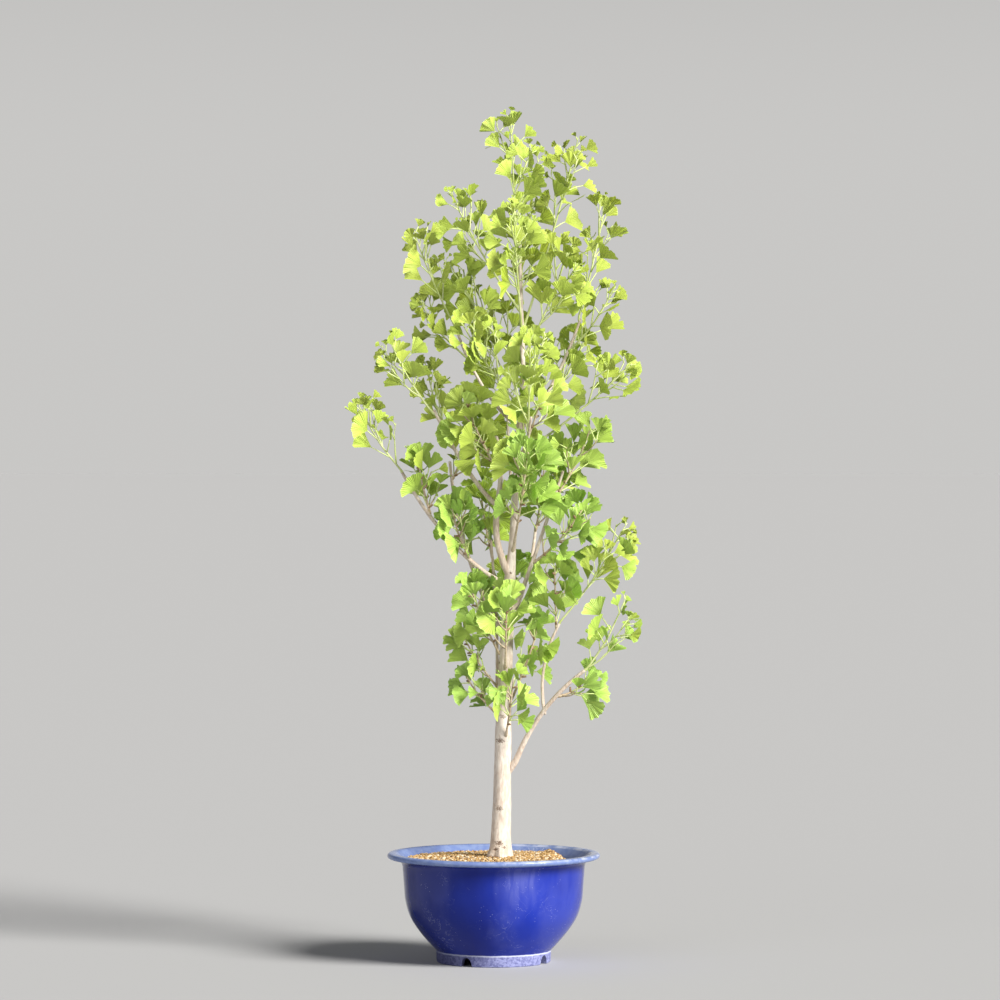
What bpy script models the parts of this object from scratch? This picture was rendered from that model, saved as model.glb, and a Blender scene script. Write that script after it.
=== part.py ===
"""A young ginkgo in a blue glazed bowl pot.

Metres, +Z up, X to the viewer's right and Y away from the viewer. Sizes are given from the pot's axis. At the end the
whole plant is shifted sideways, so that the middle of its bounding box stands over the origin.
"""

import math
import random
from collections import namedtuple

import bmesh
import bpy
import numpy as np
from mathutils import Matrix, Vector

UP = Vector((0, 0, 1))
GAP = 0.0003
GOLDEN_ANGLE = math.radians(137.5)

# Pot: a turned bowl with an outward lip, on a foot ring that has four arched notches
POT_SEGMENTS = 28
WALL = 0.0075
BODY = (
    (0.0805, 0.0165),
    (0.0905, 0.0272),
    (0.1046, 0.0440),
    (0.1172, 0.0640),
    (0.1237, 0.0860),
    (0.1258, 0.1090),
    (0.1276, 0.1340),
)
FLARE_START = 0.1350
LIP_RADIUS = 0.1490
LIP_TOP = 0.1525
LIP_DEPTH = 0.0075
MOUTH_RADIUS = 0.1370
FLOOR_TOP = 0.0235
FLOOR_UNDERSIDE = 0.0125
FOOT_RADIUS = 0.0800
FOOT_WALL = 0.0100
FOOT_BEVEL = 0.0015
DRAIN_RADIUS = 0.0120
NOTCH_COUNT = 4
NOTCH_TURN = math.radians(-28.5)
NOTCH_HALF_WIDTH = 0.0090
NOTCH_HEIGHT = 0.0130

# Soil: level at the foot of the trunk, sunk at the right, with a small heap behind
SOIL_TOP = 0.1465
SOIL_EDGE = 0.1415
SOIL_DIP = 0.0085
SOIL_HEAP = 0.0065
SOIL_HEAP_AT = (0.084, 0.050)
SOIL_LEVEL_RADIUS = 0.030
SOIL_RINGS = (0.034, 0.062, 0.088)
SOIL_EDGE_RADIUS = 0.118
SOIL_EDGE_FALL = 0.0015
SOIL_EDGE_DEPTH = 0.0010

# Trunk: height, lean to the right and radius, from the root flare to the scar under the leader
Station = namedtuple("Station", "height lean radius")
TRUNK = (
    Station(SOIL_TOP + GAP, 0.0085, 0.0162),
    Station(0.158, 0.0096, 0.0146),
    Station(0.180, 0.0100, 0.0138),
    Station(0.226, 0.0123, 0.0127),
    Station(0.345, 0.0136, 0.0108),
    Station(0.405, 0.0165, 0.0100),
    Station(0.530, 0.0217, 0.0084),
    Station(0.580, 0.0270, 0.0054),
    Station(0.706, 0.0325, 0.0043),
    Station(0.814, 0.0427, 0.0036),
    Station(0.925, 0.0378, 0.0027),
    Station(1.020, 0.0364, 0.0021),
)
TRUNK_SIDES = 12
TRUNK_STEP = 0.050

# Boughs: the limb each leaves and at what height, its tip, how far its middle bows off the straight, and its radii
Bough = namedtuple("Bough", "name limb leaves_at tip bow foot_radius tip_radius")
BOUGHS = (
    Bough("bough_low_right", "trunk", 0.266, (0.128, -0.026, 0.410), (-0.0105, 0, 0.008), 0.0044, 0.0023),
    Bough("bough_low_right_arm", "bough_low_right", 0.352, (0.092, -0.010, 0.474), (-0.009, 0, 0.002), 0.0024, 0.0018),
    Bough("bough_side_stem", "trunk", 0.372, (-0.004, 0.022, 0.590), (0.003, 0.004, 0), 0.0024, 0.0018),
    Bough("bough_back_left", "trunk", 0.455, (-0.062, 0.070, 0.700), (-0.012, 0, -0.004), 0.0034, 0.0019),
    Bough("bough_back_right", "trunk", 0.470, (0.060, 0.095, 0.610), (0.006, 0.008, -0.004), 0.0032, 0.0019),
    Bough("bough_right", "trunk", 0.492, (0.097, -0.012, 0.687), (0.001, 0, 0), 0.0032, 0.0020),
    Bough("bough_low_left", "trunk", 0.522, (-0.128, -0.014, 0.686), (-0.008, 0, -0.009), 0.0036, 0.0021),
    Bough("bough_second_stem", "trunk", 0.541, (0.007, -0.014, 0.645), (-0.006, 0, 0), 0.0046, 0.0042),
    Bough("bough_inner_left", "bough_second_stem", 0.660, (0.004, -0.016, 0.735), (0.004, 0, 0), 0.0036, 0.0026),
    Bough("bough_long_left", "bough_second_stem", 0.634, (-0.083, -0.020, 0.772), (-0.003, 0, -0.003), 0.0034, 0.0021),
    Bough("bough_front", "trunk", 0.690, (0.052, -0.080, 0.762), (0.002, -0.006, -0.004), 0.0026, 0.0018),
    Bough("bough_back", "trunk", 0.640, (0.020, 0.090, 0.770), (-0.002, 0.008, -0.004), 0.0026, 0.0018),
    Bough("bough_upper_right", "trunk", 0.742, (0.122, 0.010, 0.900), (0.004, 0, -0.006), 0.0028, 0.0018),
    Bough("bough_upper_left", "trunk", 0.745, (-0.052, 0.012, 0.885), (-0.006, 0, -0.008), 0.0026, 0.0018),
)
BOUGH_SIDES = 6
BOUGH_STEP = 0.028
COLLAR_SWELL = 1.2
COLLAR_LENGTH = 0.6
LEAST_SPREAD = 0.36

# Masses: the limb each grows on from, its middle, its reach, how far below the middle its stem leaves the limb, its
# leaves, its seed, and its habit: a green shoot of this year bears single leaves that get smaller to its tip, and old
# wood bears whorls on spurs
GREEN = "green shoot"
WOODY = "old wood"
Mass = namedtuple("Mass", "name limb middle reach drop leaves seed habit", defaults=(WOODY,))
MASSES = (
    Mass("leaves_leader", "trunk", (0.026, 0.000, 1.114), 0.060, 0.110, 15, 0, GREEN),
    Mass("leaves_top_right", "trunk", (0.108, 0.012, 1.090), 0.054, 0.200, 11, 18, GREEN),
    Mass("leaves_top_left", "trunk", (-0.042, -0.010, 1.018), 0.055, 0.105, 11, 13, GREEN),
    Mass("leaves_high_left", "bough_upper_left", (-0.100, -0.010, 0.973), 0.048, 0.080, 9, 15, GREEN),
    Mass("leaves_high_right", "bough_upper_right", (0.150, 0.020, 1.008), 0.052, 0.120, 7, 10, GREEN),
    Mass("leaves_high_front", "trunk", (0.030, -0.062, 0.990), 0.056, 0.110, 11, 10, GREEN),
    Mass("leaves_high_back", "trunk", (0.040, 0.068, 1.000), 0.060, 0.105, 11, 15, GREEN),
    Mass("leaves_shoulder_left", "trunk", (-0.040, 0.015, 0.920), 0.052, 0.085, 9, 14, GREEN),
    Mass("leaves_shoulder_right", "trunk", (0.094, -0.015, 0.945), 0.056, 0.095, 11, 0, GREEN),
    Mass("leaves_outer_left", "bough_upper_left", (-0.088, 0.020, 0.885), 0.044, 0.060, 7, 15, GREEN),
    Mass("leaves_outer_right", "bough_upper_right", (0.152, -0.010, 0.898), 0.044, 0.060, 7, 11, GREEN),
    Mass("leaves_far_left", "bough_long_left", (-0.131, -0.020, 0.825), 0.046, 0.080, 8, 11, GREEN),
    Mass("leaves_left_tip", "bough_low_left", (-0.174, -0.015, 0.736), 0.048, 0.070, 9, 15, GREEN),
    Mass("leaves_left_mid", "bough_long_left", (-0.086, 0.010, 0.784), 0.050, 0.055, 9, 5, GREEN),
    Mass("leaves_left_inner", "trunk", (-0.030, -0.030, 0.850), 0.052, 0.070, 10, 6, GREEN),
    Mass("leaves_middle_front", "bough_front", (0.050, -0.095, 0.810), 0.060, 0.080, 12, 12, GREEN),
    Mass("leaves_middle_back", "bough_back", (0.020, 0.095, 0.855), 0.062, 0.080, 12, 11, GREEN),
    Mass("leaves_right_inner", "bough_upper_right", (0.112, 0.020, 0.823), 0.054, 0.060, 11, 11, GREEN),
    Mass("leaves_far_right", "trunk", (0.172, -0.020, 0.797), 0.046, 0.085, 9, 8, GREEN),
    Mass("leaves_left_low_tip", "bough_low_left", (-0.102, -0.010, 0.671), 0.044, 0.050, 8, 0),
    Mass("leaves_heart_left", "bough_inner_left", (-0.030, -0.035, 0.745), 0.052, 0.060, 10, 17),
    Mass("leaves_heart_right", "trunk", (0.066, -0.025, 0.772), 0.050, 0.065, 9, 3),
    Mass("leaves_heart_front", "trunk", (0.045, -0.065, 0.672), 0.056, 0.095, 11, 7),
    Mass("leaves_heart_back", "bough_back_left", (-0.030, 0.085, 0.735), 0.058, 0.060, 11, 0),
    Mass("leaves_right_mid", "bough_right", (0.124, -0.005, 0.702), 0.056, 0.060, 11, 9),
    Mass("leaves_left_low", "bough_low_left", (-0.052, -0.020, 0.600), 0.048, 0.050, 9, 4),
    Mass("leaves_back_low_left", "bough_side_stem", (-0.016, 0.060, 0.625), 0.050, 0.060, 9, 4),
    Mass("leaves_right_low", "bough_right", (0.112, -0.030, 0.600), 0.050, 0.060, 10, 4),
    Mass("leaves_far_right_low", "bough_low_right_arm", (0.164, -0.010, 0.556), 0.054, 0.080, 11, 19, GREEN),
    Mass("leaves_back_low_right", "bough_back_right", (0.070, 0.100, 0.660), 0.056, 0.060, 11, 6),
    Mass("leaves_foot_left", "trunk", (-0.026, -0.010, 0.492), 0.046, 0.060, 9, 13),
    Mass("leaves_foot_front", "trunk", (0.018, -0.052, 0.478), 0.046, 0.065, 9, 9),
    Mass("leaves_foot_back", "trunk", (0.030, 0.062, 0.510), 0.050, 0.085, 9, 11),
    Mass("leaves_foot_right", "bough_low_right_arm", (0.086, -0.005, 0.520), 0.044, 0.050, 8, 0),
    Mass("leaves_knee_right", "trunk", (0.058, -0.010, 0.440), 0.044, 0.070, 9, 3),
    Mass("leaves_low_right_tip", "bough_low_right", (0.166, -0.035, 0.455), 0.050, 0.060, 7, 0, GREEN),
    Mass("leaves_low_right", "bough_low_right", (0.120, -0.015, 0.376), 0.044, 0.030, 6, 9),
    Mass("leaves_low_left", "trunk", (-0.036, 0.005, 0.430), 0.040, 0.045, 7, 3),
    Mass("leaves_lowest_left", "trunk", (-0.032, 0.005, 0.378), 0.034, 0.030, 5, 19),
    Mass("leaves_low_front", "trunk", (0.026, -0.036, 0.368), 0.040, 0.050, 7, 5),
)
SPACE_STRETCH = 1.4
SPACE_GAP = 0.0006
LIMB_CLEARANCE = 0.0022
SAMPLE_STEP = 0.004
STEM_SIDES = 3
STEM_RADIUS = 0.0022
STEM_TIP_RADIUS = 0.0015
STEM_RING_STEP = 0.040
TWIG_RADII = (0.0009, 0.0016, 0.0014)
TWIG_COUNT = 3
SPUR_STEP = 0.014
SHOOT_STEP = 0.0105
NODE_LENGTH = 0.0085
SPUR_WHORL = 5
SHOOT_WHORL = 2
TIP_SHRINK = 0.45

# A leaf: a stalk of three sides, and a fan that is thickest at its foot. The fans are about a third longer than life,
# because there are fewer of them than the plant has
STALK_LENGTH = (0.020, 0.034)
STALK_RADIUS = 0.0005
BLADE_LENGTH = (0.034, 0.042)
BLADE_HALF_ANGLE = (42, 60)
BLADE_FOOT = 0.0013
BLADE_SIZES = (1.0, 0.86, 0.72, 0.60, 0.50)
STALK_SIZES = (1.0, 0.7, 0.45)
LEAF_CLEARANCE = 0.003
ROOT_ZONE = 0.008
Leaf = namedtuple("Leaf", "root neck axis side normal length half_angle cup")


def principled(name, colour, roughness, metallic=0.0):
    """A plain Principled material."""
    material = bpy.data.materials.new(name)
    material.use_nodes = True
    shader = material.node_tree.nodes["Principled BSDF"]
    shader.inputs["Base Color"].default_value = (*colour, 1)
    shader.inputs["Roughness"].default_value = roughness
    shader.inputs["Metallic"].default_value = metallic
    material.diffuse_color = (*colour, 1)
    return material


def add_object(name, bm, material=None, smooth_angle=None):
    """Turns a bmesh into an object of the scene, with its faces pointing out."""
    bmesh.ops.recalc_face_normals(bm, faces=bm.faces)
    mesh = bpy.data.meshes.new(name)
    bm.to_mesh(mesh)
    bm.free()
    if material:
        mesh.materials.append(material)
    if smooth_angle is not None:
        mesh.shade_smooth()
        mesh.set_sharp_from_angle(angle=smooth_angle)
    obj = bpy.data.objects.new(name, mesh)
    bpy.context.scene.collection.objects.link(obj)
    return obj


# Turned shapes


def inner_contour():
    """The bowl's inside from its floor to its mouth, one wall in from the outside, as (radius, height)."""
    points = []
    for (r0, z0), (r1, z1) in zip(BODY[1:], BODY[2:]):
        along = Vector((r1 - r0, z1 - z0)).normalized()
        middle = Vector(((r0 + r1) / 2, (z0 + z1) / 2))
        points.append(tuple(middle + WALL * Vector((-along.y, along.x))))
    points.append((BODY[-1][0] - WALL, FLARE_START))
    points.append((BODY[-1][0] + 0.0005, LIP_TOP - 0.0085))
    points.append((MOUTH_RADIUS - 0.0030, LIP_TOP - 0.0030))
    points.append((MOUTH_RADIUS, LIP_TOP - 0.0006))
    return points


def inner_radius(height):
    """The radius of the bowl's inside at a height."""
    contour = inner_contour()
    for (r0, z0), (r1, z1) in zip(contour, contour[1:]):
        if height <= z1:
            return r0 + (r1 - r0) * (height - z0) / (z1 - z0)
    return contour[-1][0]


def pot_section():
    """The closed section of the pot, as (radius, height): the inside upward, the lip, the outside downward, the foot."""
    inside = inner_contour()
    floor_radius = inside[0][0] - 0.012
    section = [(DRAIN_RADIUS, FLOOR_TOP), (floor_radius, FLOOR_TOP), *inside]
    lip_bottom = LIP_TOP - LIP_DEPTH
    section += [
        (LIP_RADIUS - 0.0050, LIP_TOP),
        (LIP_RADIUS - 0.0008, LIP_TOP - 0.0018),
        (LIP_RADIUS, LIP_TOP - 0.0040),
        (LIP_RADIUS - 0.0020, lip_bottom),
        (LIP_RADIUS - 0.0110, lip_bottom - 0.0010),
        (BODY[-1][0] + 0.0025, lip_bottom - 0.0050),
    ]
    section += list(reversed(BODY))
    foot_inside = FOOT_RADIUS - FOOT_WALL
    section += [
        (FOOT_RADIUS, FOOT_BEVEL),
        (FOOT_RADIUS - FOOT_BEVEL, 0),
        (foot_inside + FOOT_BEVEL, 0),
        (foot_inside, FOOT_BEVEL),
        (foot_inside, FLOOR_UNDERSIDE),
        (DRAIN_RADIUS, FLOOR_UNDERSIDE),
    ]
    return section


def revolve(section, segments):
    """A bmesh of the closed section turned round the Z axis."""
    bm = bmesh.new()
    rings = []
    for step in range(segments):
        angle = 2 * math.pi * step / segments
        rings.append([bm.verts.new((r * math.cos(angle), r * math.sin(angle), z)) for r, z in section])
    for step in range(segments):
        here, there = rings[step], rings[(step + 1) % segments]
        for k in range(len(section)):
            after = (k + 1) % len(section)
            bm.faces.new((here[k], here[after], there[after], there[k]))
    return bm


def notch_cutter(angle):
    """An arch lying along a radius, which cuts one notch in the foot ring."""
    bm = bmesh.new()
    bmesh.ops.create_cone(
        bm, cap_ends=True, segments=12, radius1=NOTCH_HALF_WIDTH, radius2=NOTCH_HALF_WIDTH, depth=3 * FOOT_WALL
    )
    lay_down = Matrix.Rotation(math.pi / 2, 4, "Y")
    taller = Matrix.Diagonal((1, 1, NOTCH_HEIGHT / NOTCH_HALF_WIDTH, 1))
    out = Matrix.Translation((FOOT_RADIUS - FOOT_WALL / 2, 0, 0))
    bmesh.ops.transform(bm, matrix=Matrix.Rotation(angle, 4, "Z") @ out @ taller @ lay_down, verts=bm.verts)
    cutter = add_object("notch_cutter", bm)
    cutter.hide_render = True
    cutter.display_type = "WIRE"
    return cutter


def build_pot():
    """The pot, with its notches cut through the foot ring."""
    glaze = principled("cobalt_glaze", (0.020, 0.035, 0.260), 0.22)
    pot = add_object("pot", revolve(pot_section(), POT_SEGMENTS), glaze, math.radians(40))
    for step in range(NOTCH_COUNT):
        angle = -math.pi / 2 + NOTCH_TURN + 2 * math.pi * step / NOTCH_COUNT
        cut = pot.modifiers.new(f"notch_{step}", "BOOLEAN")
        cut.operation = "DIFFERENCE"
        cut.object = notch_cutter(angle)
    return pot


def soil_height(x, y):
    """The height of the soil's surface: level round the trunk, lower at the right, heaped at one place behind."""
    trunk_x = TRUNK[0].lean
    from_trunk = math.hypot(x - trunk_x, y)
    fall = min(1, max(0, (from_trunk - SOIL_LEVEL_RADIUS) / 0.09))
    height = SOIL_TOP - (SOIL_TOP - SOIL_EDGE) * 0.6 * fall * fall
    right = min(1, max(0, (x - 0.075) / 0.035)) * math.exp(-((y / 0.075) ** 2))
    heap = math.exp(-(((x - SOIL_HEAP_AT[0]) / 0.016) ** 2) - ((y - SOIL_HEAP_AT[1]) / 0.026) ** 2)
    return min(height - SOIL_DIP * right + SOIL_HEAP * heap, LIP_TOP)


def soil_edge_heights():
    """How high the soil stands against the wall at each segment of the pot."""
    angles = [2 * math.pi * step / POT_SEGMENTS for step in range(POT_SEGMENTS)]
    edge = [(SOIL_EDGE_RADIUS * math.cos(angle), SOIL_EDGE_RADIUS * math.sin(angle)) for angle in angles]
    return [soil_height(x, y) - SOIL_EDGE_FALL for x, y in edge]


def build_soil():
    """The growing mix that fills the bowl, clear of its inside all round.

    Beside a place where the soil stands below the start of the wall's flare, its edge doesn't follow the flare out.
    """
    contour = [(r - GAP, z) for r, z in inner_contour() if z < SOIL_EDGE - SOIL_DIP - 0.004]
    floor_radius = contour[0][0] - 0.012
    edge_heights = soil_edge_heights()
    bm = bmesh.new()
    rings = []
    for step in range(POT_SEGMENTS):
        angle = 2 * math.pi * step / POT_SEGMENTS
        across, along = math.cos(angle), math.sin(angle)
        edge_height = edge_heights[step]
        bend_height = min(FLARE_START, edge_height - SOIL_EDGE_DEPTH)
        lowest_near = min(edge_heights[step - 1], edge_height, edge_heights[(step + 1) % POT_SEGMENTS])
        follows_flare = lowest_near - SOIL_EDGE_DEPTH > FLARE_START
        wall_height = edge_height if follows_flare else min(edge_height, FLARE_START)
        ring = [bm.verts.new((r * across, r * along, soil_height(r * across, r * along))) for r in SOIL_RINGS]
        for height, at_wall in ((edge_height, wall_height), (bend_height, bend_height)):
            radius = inner_radius(at_wall) - GAP * 1.5
            ring.append(bm.verts.new((radius * across, radius * along, height)))
        ring += [bm.verts.new((r * across, r * along, z)) for r, z in reversed(contour)]
        ring.append(bm.verts.new((floor_radius * across, floor_radius * along, FLOOR_TOP + GAP)))
        rings.append(ring)
    top = bm.verts.new((0, 0, SOIL_TOP))
    bottom = bm.verts.new((0, 0, FLOOR_TOP + GAP))
    for step in range(POT_SEGMENTS):
        here, there = rings[step], rings[(step + 1) % POT_SEGMENTS]
        bm.faces.new((top, here[0], there[0]))
        bm.faces.new((bottom, there[-1], here[-1]))
        for k in range(len(here) - 1):
            bm.faces.new((here[k], here[k + 1], there[k + 1], there[k]))
    return add_object("soil", bm, principled("growing_mix", (0.42, 0.27, 0.11), 0.95), math.radians(50))


# Limbs


# The foot of a limb, cut to lie along its parent: the way it faces, and its long way and how long that is
Foot = namedtuple("Foot", "facing long_way stretch")

# A place on a limb's middle line: its direction and radius there, how fast the limb gets thicker toward its tip (below
# zero where it gets thinner), and whether it is the tip
Place = namedtuple("Place", "point direction radius taper is_tip")


class Limb:
    """A round tapering limb: the middles of its rings, their radii, and its foot on its parent, where it has one."""

    def __init__(self, name, points, radii, foot=None):
        self.name = name
        self.points = points
        self.radii = radii
        self.foot = foot

    def place(self, k, share, is_tip=False):
        """The place at a share of the stretch after ring k."""
        along = self.points[k + 1] - self.points[k]
        swell = self.radii[k + 1] - self.radii[k]
        point = self.points[k] + along * share
        return Place(point, along.normalized(), self.radii[k] + swell * share, swell / along.length, is_tip)

    def nearest(self, target):
        """The place on the middle line nearest to a point."""
        nearest_yet = None
        last = len(self.points) - 2
        for k, (a, b) in enumerate(zip(self.points, self.points[1:])):
            along = b - a
            share = min(1, max(0, (target - a).dot(along) / along.length_squared))
            place = self.place(k, share, k == last and share > 0.999)
            if nearest_yet is None or (target - place.point).length < (target - nearest_yet.point).length:
                nearest_yet = place
        return nearest_yet

    def at_height(self, height):
        """The place where the middle line first reaches a height, or its tip if it ends lower."""
        for k, (a, b) in enumerate(zip(self.points, self.points[1:])):
            if b.z >= height:
                return self.place(k, (height - a.z) / (b.z - a.z))
        return self.place(len(self.points) - 2, 1, True)


def trunk_limb():
    """The trunk as smoothly joined stations, standing level on the soil."""
    points, radii = [], []
    for low, high in zip(TRUNK, TRUNK[1:]):
        steps = max(1, round((high.height - low.height) / TRUNK_STEP))
        for k in range(steps):
            share = k / steps
            points.append(Vector((low.lean + (high.lean - low.lean) * share, 0, low.height)))
            points[-1].z += (high.height - low.height) * share
            radii.append(low.radius + (high.radius - low.radius) * share)
    points.append(Vector((TRUNK[-1].lean, 0, TRUNK[-1].height)))
    radii.append(TRUNK[-1].radius)
    smooth = [p.copy() for p in points]
    for k in range(2, len(points) - 1):
        smooth[k].x = (points[k - 1].x + 2 * points[k].x + points[k + 1].x) / 4
    return Limb("trunk", smooth, radii, Foot(UP, Vector((0, 1, 0)), 1))


def bowed(start, tip, bow, step):
    """Points on a curve from start to tip whose middle lies off the straight by bow."""
    knee = (start + tip) / 2 + 2 * bow
    count = max(2, round((tip - start).length / step))
    points = []
    for k in range(count + 1):
        t = k / count
        points.append(start * (1 - t) ** 2 + knee * 2 * t * (1 - t) + tip * t**2)
    return points


def limb_from(place, aim, radius):
    """Where a side limb starts in a narrow fork: its first middle, its foot, and where its curve begins."""
    direction = place.direction
    if place.is_tip:
        start = place.point + direction * GAP
        return start, Foot(direction, direction.orthogonal().normalized(), 1), start + direction * radius * 1.5
    heading = (aim - place.point).normalized()
    outward = across(direction, heading)
    spread = max(LEAST_SPREAD, heading.dot(outward))
    rise = math.sqrt(max(0, 1 - spread * spread)) * (1 if heading.dot(direction) > 0 else -1)
    lead = outward * spread + direction * rise
    start = place.point + outward * (place.radius + GAP)
    elbow = start + lead * radius * (abs(rise) / spread + COLLAR_LENGTH)
    long_way = (direction + outward * place.taper).normalized()
    return start, Foot(across(long_way, outward), long_way, 1 / spread), elbow


def bough_limb(bough, limbs):
    """A bough: a swollen collar on its limb, then one bowed taper to its tip."""
    tip = Vector(bough.tip)
    place = limbs[bough.limb].at_height(bough.leaves_at)
    start, foot, elbow = limb_from(place, tip, bough.foot_radius)
    points = [start] + bowed(elbow, tip, Vector(bough.bow), BOUGH_STEP)
    taper = bough.tip_radius - bough.foot_radius
    radii = [bough.foot_radius + taper * k / (len(points) - 1) for k in range(len(points))]
    if not place.is_tip:
        radii[0] *= COLLAR_SWELL
    return Limb(bough.name, points, radii, foot)


def across(direction, hint):
    """A unit vector square to direction, as near to hint as it can be."""
    side = hint - direction * hint.dot(direction)
    if side.length < 1e-6:
        side = direction.orthogonal()
    return side.normalized()


def tube(limb, sides):
    """A bmesh of a limb, with flat ends. A foot that lies along its parent is longer that way than it is wide."""
    bm = bmesh.new()
    rings = []
    last = len(limb.points) - 1
    first_way = (limb.points[1] - limb.points[0]).normalized()
    foot = limb.foot or Foot(first_way, Vector((0.3, 1, 0.1)), 1)
    side = across(foot.facing, foot.long_way)
    for k, (middle, radius) in enumerate(zip(limb.points, limb.radii)):
        before = limb.points[max(0, k - 1)]
        after = limb.points[min(last, k + 1)]
        direction = foot.facing if k == 0 else (after - before).normalized()
        side = across(direction, side)
        other = direction.cross(side)
        stretch = foot.stretch if k == 0 else 1
        ring = []
        for j in range(sides):
            angle = 2 * math.pi * j / sides
            spoke = math.cos(angle) * stretch * side + math.sin(angle) * other
            ring.append(bm.verts.new(middle + radius * spoke))
        rings.append(ring)
    for here, there in zip(rings, rings[1:]):
        for j in range(sides):
            bm.faces.new((here[j], here[(j + 1) % sides], there[(j + 1) % sides], there[j]))
    bm.faces.new(list(reversed(rings[0])))
    bm.faces.new(rings[-1])
    return bm


# Spaces and clearances


def stretched(point):
    """A point in the measure in which every mass's space is a ball."""
    return np.array((point[0], point[1], point[2] / SPACE_STRETCH))


class Spaces:
    """The room that each mass has: a standing egg, cut flat half way to its neighbours."""

    def __init__(self, masses):
        self.middles = np.array([stretched(mass.middle) for mass in masses])
        self.squares = np.array([mass.reach**2 for mass in masses])
        self.between = np.linalg.norm(self.middles[:, None] - self.middles[None], axis=2)

    def holds(self, index, points):
        """Whether all the points lie in the mass's own space."""
        points = np.asarray(points) / (1, 1, SPACE_STRETCH)
        depth = ((points[:, None] - self.middles[None]) ** 2).sum(2) - self.squares[None]
        own = depth[:, index]
        if own.max() > 0:
            return False
        room = depth - own[:, None] - 2 * SPACE_GAP * self.between[index][None]
        room[:, index] = 1
        return bool(room.min() > 0)


class Woods:
    """The straight stretches of all limbs and stems, to keep leaves and twigs off them."""

    def __init__(self, limbs):
        starts, ends, radii, owners = [], [], [], []
        for limb in limbs:
            for k, (a, b) in enumerate(zip(limb.points, limb.points[1:])):
                starts.append(a)
                ends.append(b)
                radii.append(max(limb.radii[k], limb.radii[k + 1]))
                owners.append(limb.name)
        self.starts = np.array(starts)
        self.spans = np.array(ends) - self.starts
        self.lengths = (self.spans**2).sum(1)
        self.radii = np.array(radii)
        self.owners = np.array(owners)

    def clear(self, points, owner, clearance=LIMB_CLEARANCE):
        """Whether the points keep clear of every limb but the owner."""
        others = self.owners != owner
        away = np.asarray(points)[:, None] - self.starts[None, others]
        share = np.clip((away * self.spans[None, others]).sum(2) / self.lengths[others], 0, 1)
        gap = np.linalg.norm(away - share[..., None] * self.spans[None, others], axis=2)
        return bool((gap - self.radii[None, others]).min() > clearance)


def samples(a, b):
    """Points along a straight line, close enough together to miss no limb."""
    count = max(1, math.ceil((b - a).length / SAMPLE_STEP))
    return [a.lerp(b, k / count) for k in range(count + 1)]


# Foliage


def leaf_corners(leaf):
    """The nine corners of a leaf: three at the root, three at the blade's foot, then left, right and middle."""
    stalk = (leaf.neck - leaf.root).normalized()
    under = across(stalk, leaf.normal)
    root = [leaf.root + STALK_RADIUS * v for v in (under * 0.6 - leaf.side, under * 0.6 + leaf.side, -under)]
    neck = [
        leaf.neck + BLADE_FOOT * (leaf.normal * 0.45 - leaf.side),
        leaf.neck + BLADE_FOOT * (leaf.normal * 0.45 + leaf.side),
        leaf.neck - BLADE_FOOT * leaf.normal * 0.55,
    ]
    spread = leaf.length * math.sin(leaf.half_angle)
    reach = leaf.length * math.cos(leaf.half_angle)
    left = leaf.neck + leaf.axis * reach - leaf.side * spread
    right = leaf.neck + leaf.axis * reach + leaf.side * spread
    middle = leaf.neck + leaf.axis * leaf.length + leaf.normal * leaf.cup
    return root + neck + [left, right, middle]


def leaf_samples(leaf):
    """Points over a leaf's stalk and blade."""
    points = samples(leaf.root, leaf.neck)[1:]
    left, right, middle = leaf_corners(leaf)[6:]
    for edge in samples(left, middle) + samples(middle, right)[1:]:
        points += samples(leaf.neck, edge)[1:]
    return points


def place_leaf(root, stalk, blade_size, stalk_size, draws):
    """A leaf on a stalk, with its face turned to the front, or to the back behind the crown's middle."""
    stalk_share, blade_share, droop, turn, tilt, half_angle, cup = draws
    stalk_length = stalk_size * (STALK_LENGTH[0] + (STALK_LENGTH[1] - STALK_LENGTH[0]) * stalk_share)
    length = blade_size * (BLADE_LENGTH[0] + (BLADE_LENGTH[1] - BLADE_LENGTH[0]) * blade_share)
    neck = root + stalk * stalk_length
    axis = (stalk - UP * droop).normalized()
    front = -1 if root.y < 0.02 else 1
    normal = across(axis, Vector((math.sin(turn), front * math.cos(turn), tilt)))
    return Leaf(root, neck, axis, axis.cross(normal), normal, length, half_angle, cup * length)


# A place that bears leaves: its point, the direction of its stem or twig, and its leaves' size
Node = namedtuple("Node", "point direction size")


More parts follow.
